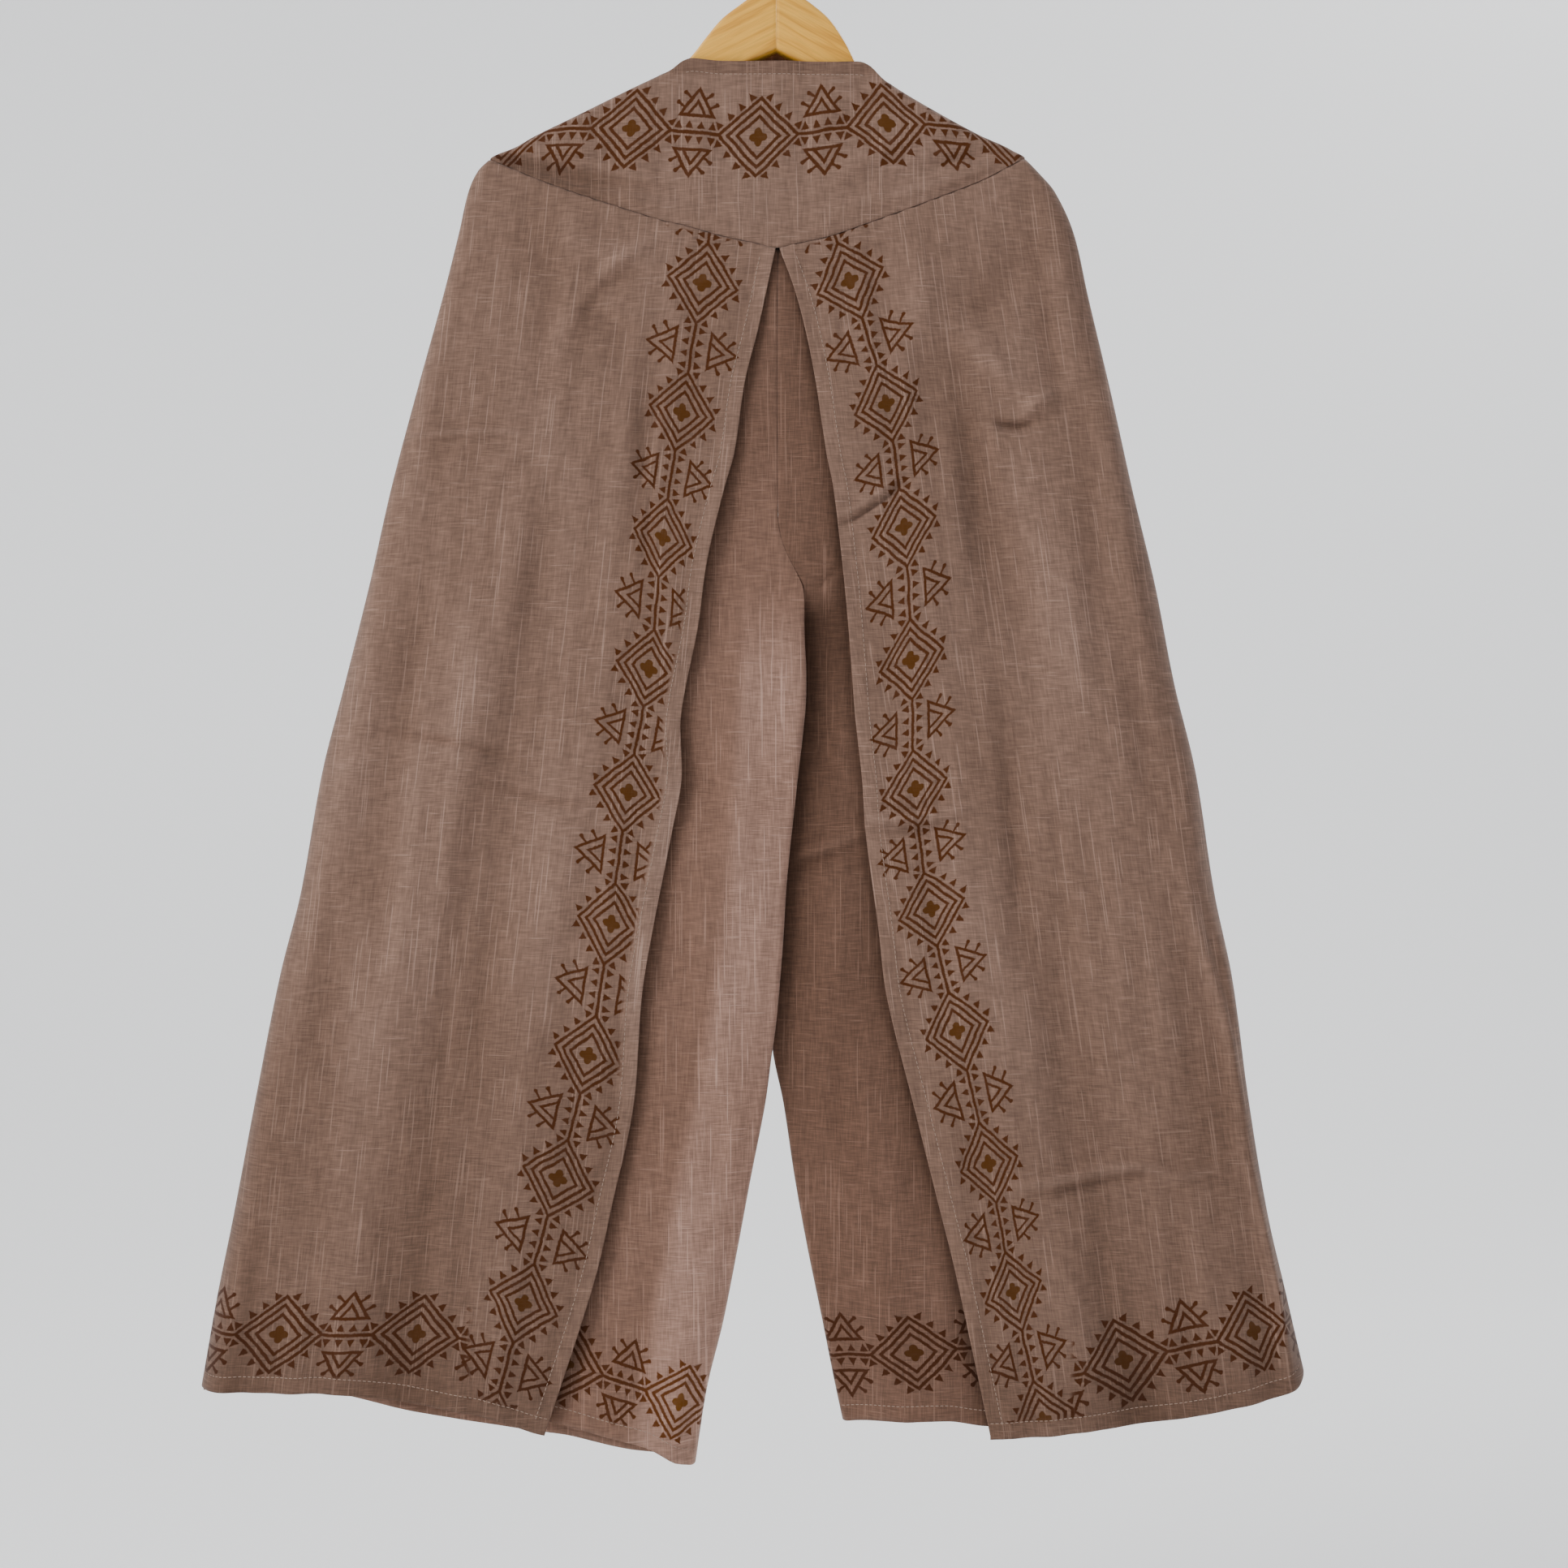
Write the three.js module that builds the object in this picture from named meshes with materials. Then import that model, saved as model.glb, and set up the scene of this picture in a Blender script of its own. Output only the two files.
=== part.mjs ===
// Wide-leg cotton trousers on a wooden hanger, in millimetres, +Z up, front towards -Y.
// The origin is the inner top of the hook, where it hangs. Left and right are as seen from the front.
// Heights on the cloth are drops, measured down from the front waist edge.
// Every cloth panel is a grid of points on its outer face and a wall's thickness behind it.

import * as THREE from 'three';
import { mergeVertices } from 'three/addons/utils/BufferGeometryUtils.js';

const { lerp, smoothstep } = THREE.MathUtils;

// Driving dimensions
const WAIST_Z = -118;
const WALL = 1.6;
const SEAM_GAP = 0.3;
const CASING_DEEP = 9.6;
const CASING_THICK = 1.2;
const WOOD_THICK = 12;
const WOOD_ROUNDING = 4;
const WIRE = 3.4;
const HOOK_RADIUS = 20;
const SHOULDER_DROP = 71;
const CROTCH = 398;

// Outline of the hanging garment and where its front and back faces lie, a row for each height.
// The rolls are how far in from the side the front face starts to turn back.
const BODY = table(
  ['drop', 'leftSide', 'rightSide', 'front', 'back', 'leftRoll', 'rightRoll', 'sideSeam'],
  [
    [71, -214, 186, 10.2, 10.2, 8, 8, 0],
    [80, -223, 195, 10.3, 10.3, 9, 10, 0],
    [95, -230, 208, 10.6, 10.4, 11, 13, 0],
    [125, -237, 222, 11.3, 10.8, 13, 16, 1],
    [173, -249, 233, 12.6, 11.4, 15, 18, 1],
    [245, -269, 250, 15, 13, 18, 20, 2],
    [317, -288, 266, 17.5, 14.5, 20, 22, 2],
    [389, -304, 283, 20, 16, 22, 24, 2],
    [461, -322, 297, 22, 17, 24, 27, 2],
    [527, -339, 313, 23.5, 18, 25, 29, 3],
    [617, -355, 327, 25.5, 19.5, 26, 28, 3],
    [677, -370, 339, 26.5, 20.5, 26, 16, 3],
    [767, -388, 351, 28, 21.5, 26, 12, 4],
    [857, -405, 366, 29.5, 22.5, 27, 13, 4],
    [917, -417, 380, 30, 23, 27, 14, 4],
    [985, -429, 396, 31, 24, 28, 18, 4],
  ],
);

// Free front edges of the two overlays.
const FREE_EDGE = table(
  ['drop', 'left', 'right'],
  [
    [140, -0.6, 2.4],
    [170, -7, 13.5],
    [202, -14, 22],
    [238, -23, 29],
    [292, -31, 37],
    [317, -38, 42],
    [372, -51, 48.5],
    [420, -57.5, 53],
    [486, -70, 58],
    [533, -69.6, 63],
    [571, -76.5, 65.5],
    [643, -90.5, 75],
    [692, -98.5, 81],
    [773, -104.7, 101],
    [844, -120, 118.7],
    [889, -130, 130],
    [935, -143.7, 140],
    [1013, -169.5, 156.5],
  ],
);

// Inner edges of the legs: the centre seams down to the crotch, then the inseams.
const INNER_EDGE = table(
  ['drop', 'left', 'right'],
  [
    [139, 1, 1.3],
    [335, 1.2, 1.5],
    [352, 3.2, 3.5],
    [366, 8, 8.3],
    [380, 15, 15.4],
    [390, 19.4, 19.9],
    [398, 21, 21.8],
    [415, 20.6, 22.6],
    [432, 21, 22.2],
    [452, 22.2, 18.5],
    [480, 21.7, 13.5],
    [533, 15.9, 6.5],
    [606, 8.1, -1],
    [655, 5, -4],
    [710, 0.3, -5],
    [740, -3.7, -2],
    [773, -8.1, 5],
    [829, -19, 13.5],
    [880, -28.5, 22.7],
    [935, -39.3, 34],
    [985, -51.5, 44],
    [1040, -60, 56],
  ],
);

// Depth of the inseams, and of the panels beside them, below the crotch. The left leg hangs in front.
const INSEAM = table(
  ['drop', 'leftSeam', 'leftFront', 'leftBack', 'rightSeam', 'rightFront', 'rightBack'],
  [
    [398, -12.5, -17, -5, -8, -13, -5],
    [415, -13.5, -17, -11, -5.5, -9, -2.5],
    [450, -13.5, -17.5, -11, -4, -8, -1],
    [700, -14, -19, -10.5, -3, -8, 1],
    [1040, -8, -18, -1, -2, -10, 4],
  ],
);

// The slanted yoke seam and the edge that lies over the hanger's arms, a row for each distance across.
const YOKE = table(
  ['across', 'seam', 'top', 'backWaist'],
  [
    [-214, 72.5, 70.6, 71.4],
    [-205, 76, 66, 70],
    [-194, 80.5, 61.6, 66],
    [-180, 86.5, 53.5, 62],
    [-150, 97.5, 38.8, 58.5],
    [-110, 110.5, 19, 31],
    [-84, 118.5, 6.5, 17],
    [-70, 121.5, -1.5, 9],
    [-40, 130, 0, -3],
    [-14, 135.6, 0, -4.6],
    [0, 139, 0, -5],
    [14, 135.8, 0, -4.6],
    [40, 130, 0.6, -3],
    [70, 119.5, 2, 11],
    [84, 114.5, 13.8, 22],
    [110, 105, 30, 41],
    [150, 89.5, 52, 71.5],
    [170, 79.5, 61, 73.4],
    [180, 74, 66.6, 71],
    [186, 71.5, 69.8, 70.8],
  ],
);

// Hems, a row for each distance across.
const HEM = table(
  ['across', 'overlay', 'legFront', 'back'],
  [
    [-430, 983, 979, 990],
    [-361, 981.5, 980, 997],
    [-328, 981.5, 981, 1001],
    [-252, 992, 985, 1015],
    [-213, 999, 992, 1022],
    [-169, 1013, 1004, 1030],
    [-98, 1030, 1022, 1034],
    [-60, 1040, 1039, 1038],
    [0, 1030, 1022, 1022],
    [51, 1018, 1009, 1006],
    [125, 1016, 1004, 1004],
    [157, 1016, 1008, 1004],
    [264, 1005, 999, 996],
    [326, 994, 988, 986],
    [381, 979, 974, 972],
    [396, 966, 962, 960],
  ],
);

// Soft folds that hang down the panels. Heights are forward of the face, so a trough's is negative.
const FRONT_FOLDS = [
  { atWaist: -60, atHem: -205, width: 26, height: 4.5, starts: 170 },
  { atWaist: -100, atHem: -262, width: 22, height: -3.5, starts: 200 },
  { atWaist: -145, atHem: -322, width: 30, height: 5.5, starts: 150 },
  { atWaist: -185, atHem: -372, width: 22, height: -3.5, starts: 220 },
  { atWaist: 58, atHem: 196, width: 26, height: 4.5, starts: 170 },
  { atWaist: 100, atHem: 250, width: 22, height: -3.5, starts: 200 },
  { atWaist: 140, atHem: 306, width: 28, height: 5.5, starts: 150 },
];
const BACK_FOLDS = [
  { atWaist: -70, atHem: -150, width: 24, height: 4, starts: 200 },
  { atWaist: -120, atHem: -250, width: 28, height: -4, starts: 170 },
  { atWaist: -165, atHem: -330, width: 28, height: 5, starts: 200 },
  { atWaist: 75, atHem: 160, width: 26, height: 4, starts: 190 },
  { atWaist: 125, atHem: 240, width: 26, height: -4, starts: 170 },
  { atWaist: 155, atHem: 300, width: 26, height: 5, starts: 210 },
];
const FOLD_LENGTH = 900;
const FOLD_GROWTH = 420;

// How a leg front lies: the space under the overlay, the overlay's edge pressing it back, the left
// leg's swell, and how far from the inseam it is drawn to the seam's depth. `from` and `to` are drops.
const SPACE = { top: 0.6, below: 2.8, from: 140, to: 260 };
const PRESSED = { depth: 2.5, width: 16, from: 230, to: 420 };
const SWELL = { left: 4, right: 0, width: 16, from: 430, to: 600 };
const FRONT_DRAWN = { left: 18, right: 52, edge: 3, from: 375, to: 415 };

// How a leg back is drawn forward: flat beside the inseam for a width, then over a reach.
const BACK_DRAWN = { left: 34, right: 10, reach: 85, from: 300, flatFrom: 380, flatTo: 440 };

// Finishes
const CLOTH = { color: 0x8b7065, roughness: 0.92, metalness: 0 };
const CLOTH_UNDER = { color: 0x977768, roughness: 0.92, metalness: 0 };
const CASING = { color: 0x7d6558, roughness: 0.92, metalness: 0 };
const WOOD = { color: 0xcfa56b, roughness: 0.5, metalness: 0 };
const STEEL = { color: 0xb9babc, roughness: 0.28, metalness: 1 };

const group = new THREE.Group();

// A table read as smooth curves. Each named column is a curve over the first one.
function table(columns, rows) {
  const at = rows.map((row) => row[0]);
  return (name, place) => {
    const column = columns.indexOf(name);
    const value = (i) => rows[THREE.MathUtils.clamp(i, 0, rows.length - 1)][column];
    const where = (i) => at[THREE.MathUtils.clamp(i, 0, rows.length - 1)];
    if (place <= at[0]) return value(0);
    if (place >= at[at.length - 1]) return value(rows.length - 1);
    const i = at.findIndex((edge) => edge > place) - 1;
    const span = where(i + 1) - where(i);
    const t = (place - where(i)) / span;
    const slope = (k) => (value(k + 1) - value(k - 1)) / (where(k + 1) - where(k - 1));
    const t2 = t * t;
    const t3 = t2 * t;
    return (
      (2 * t3 - 3 * t2 + 1) * value(i) +
      (t3 - 2 * t2 + t) * span * slope(i) +
      (3 * t2 - 2 * t3) * value(i + 1) +
      (t3 - t2) * span * slope(i + 1)
    );
  };
}

// A soft hump, 1 at its centre.
function hump(place, centre, width) {
  return Math.exp(-0.5 * ((place - centre) / width) ** 2);
}

function foldHeight(folds, across, drop) {
  let height = 0;
  for (const fold of folds) {
    const centre = lerp(fold.atWaist, fold.atHem, drop / FOLD_LENGTH);
    const grown = smoothstep(drop, fold.starts, fold.starts + FOLD_GROWTH);
    height += fold.height * grown * hump(across, centre, fold.width);
  }
  return height;
}

// Y of the overlays' outer face, and of the back panels' outer face.
function overlayY(across, drop) {
  return -(BODY('front', drop) + foldHeight(FRONT_FOLDS, across, drop));
}

function backMainY(across, drop) {
  return BODY('back', drop) + foldHeight(BACK_FOLDS, across, drop);
}

// Y of a leg front's outer face. Under the overlay it keeps a small space. Where it shows, the left
// leg swells forward and the right leg sinks back beside the left one.
function legFrontY(side, across, drop) {
  const space = lerp(SPACE.top, SPACE.below, smoothstep(drop, SPACE.from, SPACE.to));
  const edge = FREE_EDGE(side, drop);
  const inner = INNER_EDGE(side, drop);
  const grown = smoothstep(drop, PRESSED.from, PRESSED.to);
  const pressed = PRESSED.depth * grown * hump(across, edge, PRESSED.width);
  const swollen = SWELL[side] * smoothstep(drop, SWELL.from, SWELL.to);
  const belly = swollen * hump(across, lerp(inner, edge, 0.5), SWELL.width);
  const hung = overlayY(across, drop) + WALL + space + pressed - belly;
  const away = Math.abs(across - inner);
  const below = smoothstep(drop, FRONT_DRAWN.from, FRONT_DRAWN.to);
  const weight = below * (1 - smoothstep(away, FRONT_DRAWN.edge, FRONT_DRAWN[side]));
  return lerp(hung, INSEAM(`${side}Front`, drop), weight);
}

// Y of a leg back's outer face. It comes forward to meet the front at the crotch and the inseam.
function legBackY(side, across, drop) {
  const inner = INNER_EDGE(side, drop);
  const away = Math.abs(across - inner);
  const below = smoothstep(drop, BACK_DRAWN.from, CROTCH);
  const flat = BACK_DRAWN[side] * smoothstep(drop, BACK_DRAWN.flatFrom, BACK_DRAWN.flatTo);
  const weight = below * (1 - smoothstep(away, flat, flat + BACK_DRAWN.reach));
  return lerp(backMainY(across, drop), INSEAM(`${side}Back`, drop), weight);
}

// The surface's normal at a point, across times down, not yet turned to face out.
const NUDGE = 0.003;
function facing(point, u, v) {
  const { clamp } = THREE.MathUtils;
  const across = point(clamp(u + NUDGE, 0, 1), v).sub(point(clamp(u - NUDGE, 0, 1), v));
  const down = point(u, clamp(v + NUDGE, 0, 1)).sub(point(u, clamp(v - NUDGE, 0, 1)));
  return across.cross(down).normalize();
}

// A closed wall from a grid of points on its outer face. `faces` is -1 for a front, 1 for a back, and
// tells which way the first row looks along Y. `under` is the distance to the wall's inner face, and
// `over` moves its outer face out from the grid.
function wall(name, finish, shares, point, faces, under = WALL, over = 0) {
  const columns = shares.across.length;
  const rows = shares.down.length;
  const grid = shares.across.map((u) => shares.down.map((v) => point(u, v)));
  const normals = shares.across.map((u) => shares.down.map((v) => facing(point, u, v)));
  const looks = normals.reduce((sum, line) => sum + line[0].y, 0);
  const flip = Math.sign(looks) === faces ? 1 : -1;
  const positions = [];
  for (const depth of [over, -under]) {
    for (let i = 0; i < columns; i++) {
      for (let j = 0; j < rows; j++) {
        const moved = normals[i][j].clone().multiplyScalar(flip * depth).add(grid[i][j]);
        positions.push(moved.x, moved.y, moved.z);
      }
    }
  }
  const outer = (i, j) => i * rows + j;
  const inner = (i, j) => columns * rows + outer(i, j);
  const index = [];
  const quad = (a, b, c, d) => {
    if (flip > 0) index.push(a, b, c, a, c, d);
    else index.push(a, c, b, a, d, c);
  };
  for (let i = 0; i < columns - 1; i++) {
    for (let j = 0; j < rows - 1; j++) {
      quad(outer(i, j), outer(i + 1, j), outer(i + 1, j + 1), outer(i, j + 1));
      quad(inner(i, j), inner(i, j + 1), inner(i + 1, j + 1), inner(i + 1, j));
    }
    quad(outer(i, 0), inner(i, 0), inner(i + 1, 0), outer(i + 1, 0));
    quad(outer(i + 1, rows - 1), inner(i + 1, rows - 1), inner(i, rows - 1), outer(i, rows - 1));
  }
  const end = columns - 1;
  for (let j = 0; j < rows - 1; j++) {
    quad(outer(0, j + 1), inner(0, j + 1), inner(0, j), outer(0, j));
    quad(outer(end, j), inner(end, j), inner(end, j + 1), outer(end, j + 1));
  }
  const geometry = new THREE.BufferGeometry();
  geometry.setAttribute('position', new THREE.Float32BufferAttribute(positions, 3));
  geometry.setIndex(index);
  add(name, geometry, finish);
}

function add(name, geometry, finish) {
  const mesh = new THREE.Mesh(geometry, new THREE.MeshStandardMaterial(finish));
  mesh.name = name;
  group.add(mesh);
}

// Even shares from 0 to 1.
function evenly(steps) {
  return Array.from({ length: steps + 1 }, (_, i) => i / steps);
}

// Shares across a panel: its inner turn, its flat face and its roll to the side seam.
const INNER_TURN = 0.06;
const FLAT_END = 0.8;
function sharesAcross(innerSteps, flatSteps, rollSteps) {
  const shares = [];
  for (let i = 0; i < innerSteps; i++) shares.push((INNER_TURN * i) / innerSteps);
  const flatStart = innerSteps ? INNER_TURN : 0;
  for (let i = 0; i < flatSteps; i++) shares.push(lerp(flatStart, FLAT_END, i / flatSteps));
  for (let i = 0; i <= rollSteps; i++) shares.push(lerp(FLAT_END, 1, i / rollSteps));
  return shares;
}

// Rows down a panel, alike on all of them so that seams match. Down to LEVEL_SHARE they lie between
// the yoke seam and LEVEL, closer together at the shoulders and the crotch, and then down to the hem.
const LEVEL = 450;
const LEVEL_SHARE = 0.43;
const ROWS = [
  0, 0.008, 0.02, 0.045, 0.08, 0.125, 0.18, 0.23, 0.27, 0.3, 0.325, 0.345, 0.365, 0.39, LEVEL_SHARE,
  0.49, 0.55, 0.61, 0.67, 0.73, 0.79, 0.85, 0.925, 1,
];

// The drop at which a column of the panel crosses a line given over the distance across, found by
// stepping most of the way towards the line again and again.
const CROSSING_STEPS = 12;
const CROSSING_SHARE = 0.8;
function crossing(line, acrossAt, start) {
  let drop = start;
  for (let step = 0; step < CROSSING_STEPS; step++) {
    drop = lerp(drop, line(acrossAt(drop)), CROSSING_SHARE);
  }
  return drop;
}

// A point on a panel. u runs from its inner or free edge to the side seam, v from its top to its hem.
// The face is flat or folded as faceY says, then rolls round to the side seam in a quarter ellipse.
const NEAR_SEAM = 100;
const NEAR_HEM = 1000;
const TURN_BEGINS = CROTCH - 4;
const TURN_WHOLE = CROTCH + 30;
function panelPoint(u, v, shape) {
  const outwards = shape.side === 'left' ? -1 : 1;
  const sideX = (drop) => BODY(`${shape.side}Side`, drop) - outwards * shape.inset(drop);
  const roll = (drop) => BODY(`${shape.side}Roll`, drop);
  const corner = (drop) => sideX(drop) - outwards * roll(drop);
  const flatStart = shape.turn ? INNER_TURN : 0;
  const turned = (drop) => smoothstep(drop, TURN_BEGINS, TURN_WHOLE);
  const acrossAt = (drop) => {
    const start = shape.edge(drop) + outwards * (shape.turn ?? 0);
    if (u < flatStart) {
      const angle = (u / flatStart) * (Math.PI / 2);
      const share = lerp(u / flatStart, 1 - Math.cos(angle), turned(drop));
      return lerp(shape.edge(drop), start, share);
    }
    if (u <= FLAT_END) return lerp(start, corner(drop), (u - flatStart) / (FLAT_END - flatStart));
    const angle = ((u - FLAT_END) / (1 - FLAT_END)) * (Math.PI / 2);
    return corner(drop) + outwards * roll(drop) * Math.sin(angle);
  };
  const top = crossing((across) => YOKE('seam', across), acrossAt, NEAR_SEAM) + 2 * SEAM_GAP;
  const hem = crossing(shape.hem, acrossAt, NEAR_HEM);
  const drop =
    v < LEVEL_SHARE
      ? lerp(top, LEVEL, v / LEVEL_SHARE)
      : lerp(LEVEL, hem, (v - LEVEL_SHARE) / (1 - LEVEL_SHARE));
  const across = acrossAt(drop);
  let y = shape.faceY(across, drop);
  if (u < flatStart) {
    const angle = (u / flatStart) * (Math.PI / 2);
    const face = shape.faceY(shape.edge(drop) + outwards * shape.turn, drop);
    const rolled = lerp(shape.seamY(drop), face, Math.sin(angle));
    y = lerp(y, rolled, turned(drop));
  }
  if (u > FLAT_END) {
    const angle = ((u - FLAT_END) / (1 - FLAT_END)) * (Math.PI / 2);
    const sideY = BODY('sideSeam', drop) + shape.sideGap;
    y = lerp(sideY, shape.faceY(corner(drop), drop), Math.cos(angle));
  }
  return new THREE.Vector3(across, y, WAIST_Z - drop);
}

// Overlays: loose front panels, free along the inner edge.
for (const side of ['left', 'right']) {
  const shape = {
    side,
    inset: () => 0,
    edge: (drop) => FREE_EDGE(side, drop),
    hem: (across) => HEM('overlay', across),
    faceY: overlayY,
    sideGap: 0,
  };
  const shares = { across: sharesAcross(0, 11, 4), down: ROWS };
  wall(`overlay_${side}`, CLOTH, shares, (u, v) => panelPoint(u, v, shape), -1);
}

// Legs: a front and a back each, meeting at the side seam and the inseam, where the cloth turns in.
// The front lies inside the overlay's roll, with more room near the shoulder.
const TURN = 5;
const SIDE_ROOM = { shoulder: 1.7, below: 0.6, from: 80, to: 140 };
const FRONT_SIDE_GAP = -0.6;

for (const side of ['left', 'right']) {
  const room = (drop) => smoothstep(drop, SIDE_ROOM.from, SIDE_ROOM.to);
  const front = {
    side,
    inset: (drop) => WALL + lerp(SIDE_ROOM.shoulder, SIDE_ROOM.below, room(drop)),
    turn: TURN,
    edge: (drop) => INNER_EDGE(side, drop),
    hem: (across) => HEM('legFront', across),
    faceY: (across, drop) => legFrontY(side, across, drop),
    seamY: (drop) => INSEAM(`${side}Seam`, drop),
    sideGap: FRONT_SIDE_GAP,
  };
  const back = {
    side,
    inset: () => 0,
    turn: TURN,
    edge: (drop) => INNER_EDGE(side, drop),
    hem: (across) => HEM('back', across),
    faceY: (across, drop) => legBackY(side, across, drop),
    seamY: (drop) => INSEAM(`${side}Seam`, drop) + 2 * SEAM_GAP,
    sideGap: 2 * SEAM_GAP,
  };
  const shares = { across: sharesAcross(2, 8, 4), down: ROWS };
  wall(`leg_front_${side}`, CLOTH_UNDER, shares, (u, v) => panelPoint(u, v, front), -1);
  wall(`leg_back_${side}`, CLOTH_UNDER, shares, (u, v) => panelPoint(u, v, back), 1);
}

// The front yoke is drawn over the hanger's arms. Each of its columns rises from the yoke seam to the
// arm, goes over it in half an ellipse, and ends in a tail behind. Between the arms it ends at the waist.
const OVER_ARM = 7;
const OVER_ARM_SHARE = 0.6;
const ARM_DEPTH = BODY('front', SHOULDER_DROP);
const WAIST_HALF = 70;
const ARM_BEGINS = WAIST_HALF - 8;
const ARM_WHOLE = WAIST_HALF + 14;
const WRAPPED = 110;
const CORNER = 150;
const TAIL = 12;
const UPPER_ZONE = 16;
const UPPER_SHARE = 0.85;

function yokeEndAngle(across) {
  return Math.PI * smoothstep(Math.abs(across), WAIST_HALF, WRAPPED);
}

function yokeTail(across) {
  const grown = smoothstep(Math.abs(across), WRAPPED, CORNER);
  const room = YOKE('seam', across) - YOKE('top', across) - OVER_ARM;
  return Math.min(TAIL, Math.max(0, 0.5 * room)) * grown;
}

function overArm(across) {
  return Math.min(OVER_ARM, OVER_ARM_SHARE * (YOKE('seam', across) - YOKE('top', across)));
}

// The half ellipse over the arm: its height, and the length of its arc from front to back.
function arch(across) {
  const height = overArm(across) * smoothstep(Math.abs(across), ARM_BEGINS, ARM_WHOLE);
  return { height, arc: Math.PI * Math.sqrt((ARM_DEPTH ** 2 + height ** 2) / 2) };
}

// A point `along` the upper part of a front yoke column, counted from `zone` below the arm's top.
function yokeUpperPoint(across, along, zone) {
  const top = YOKE('top', across);
  const { height, arc } = arch(across);
  const rise = zone - height;
  if (along <= rise) return { drop: top + zone - along, y: -ARM_DEPTH };
  const angle = ((along - rise) / arc) * Math.PI;
  if (angle > Math.PI) return { drop: top + height + (along - rise - arc), y: ARM_DEPTH };
  return { drop: top + height * (1 - Math.sin(angle)), y: -ARM_DEPTH * Math.cos(angle) };
}

function yokeUpperLength(across, zone) {
  const { height, arc } = arch(across);
  return zone - height + (arc * yokeEndAngle(across)) / Math.PI + yokeTail(across);
}

// The casing takes the last stretch of a column, out to the waist corner.
function casingTaken(across) {
  return Math.abs(across) < CORNER ? CASING_DEEP + 4 * SEAM_GAP : 0;
}

function yokeZone(across) {
  return Math.min(UPPER_ZONE, UPPER_SHARE * (YOKE('seam', across) - YOKE('top', across)));
}

const LOWER_SHARE = 0.4;
const YOKE_LEFT = -213;
const YOKE_RIGHT = 185;
function frontYokePoint(u, v) {
  const across = lerp(YOKE_LEFT, YOKE_RIGHT, u);
  const zone = yokeZone(across);
  const start = YOKE('top', across) + zone;
  if (v <= LOWER_SHARE) {
    const drop = lerp(YOKE('seam', across), start, v / LOWER_SHARE);
    const y = lerp(-BODY('front', drop), -ARM_DEPTH, smoothstep(v, 0, LOWER_SHARE));
    return new THREE.Vector3(across, y, WAIST_Z - drop);
  }
  const length = yokeUpperLength(across, zone) - casingTaken(across);
  const along = ((v - LOWER_SHARE) / (1 - LOWER_SHARE)) * length;
  const place = yokeUpperPoint(across, along, zone);
  return new THREE.Vector3(across, place.y, WAIST_Z - place.drop);
}

// Columns across, closer where the waist edge crosses the arms, at its corners and at the shoulders.
const LEFT_CASING = [-149.9, -140, -131, -122, -113, -104, -95, -87, -79, -70, -56, -34, -12];
const CASING_ACROSS = [...LEFT_CASING, ...LEFT_CASING.map((across) => -across).reverse()];
const LEFT_SHOULDER = [YOKE_LEFT, -212, -208, -200, -184, -166, -150.2];
const RIGHT_SHOULDER = [150.2, 164, 174, 181, 184, YOKE_RIGHT];
const YOKE_DOWN = [0, 0.13, 0.27, LOWER_SHARE, 0.46, 0.54, 0.62, 0.7, 0.78, 0.86, 0.93, 1];
const yokeShare = (across) => (across - YOKE_LEFT) / (YOKE_RIGHT - YOKE_LEFT);
const yokeShares = [...LEFT_SHOULDER, ...CASING_ACROSS, ...RIGHT_SHOULDER].map(yokeShare);
wall('yoke_front', CLOTH, { across: yokeShares, down: YOKE_DOWN }, frontYokePoint, -1);

// The casing is the yoke's end turned in on itself, so it is thicker.
function frontCasingPoint(u, v) {
  const across = lerp(YOKE_LEFT, YOKE_RIGHT, u);
  const zone = yokeZone(across);
  const place = yokeUpperPoint(across, yokeUpperLength(across, zone) - CASING_DEEP * (1 - v), zone);
  return new THREE.Vector3(across, place.y, WAIST_Z - place.drop);
}
const CASING_SHARES = { across: CASING_ACROSS.map(yokeShare), down: evenly(3) };
wall('waist_casing_front', CASING, CASING_SHARES, frontCasingPoint, -1, WALL, CASING_THICK);

// The back yoke hangs flat behind the arms. It meets the front's tail past the waist corners.
const BACK_FLAT_SHARE = 0.7;
function backWaistDrop(across) {
  if (Math.abs(across) < CORNER) return YOKE('backWaist', across);
  return YOKE('top', across) + overArm(across) + yokeTail(across) + 3 * SEAM_GAP;
}

function backYokePoint(u, v) {
  const across = lerp(YOKE_LEFT, YOKE_RIGHT, u);
  const drop = lerp(YOKE('seam', across), backWaistDrop(across) + casingTaken(across), v);
  const y = lerp(BODY('back', drop), ARM_DEPTH, smoothstep(v, 0, BACK_FLAT_SHARE));
  return new THREE.Vector3(across, y, WAIST_Z - drop);
}
wall('yoke_back', CLOTH, { across: yokeShares, down: evenly(5) }, backYokePoint, 1);

function backCasingPoint(u, v) {
  const across = lerp(YOKE_LEFT, YOKE_RIGHT, u);
  const drop = backWaistDrop(across) + CASING_DEEP * (1 - v);
  return new THREE.Vector3(across, ARM_DEPTH, WAIST_Z - drop);
}
wall('waist_casing_back', CASING, CASING_SHARES, backCasingPoint, 1, WALL, CASING_THICK);

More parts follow.
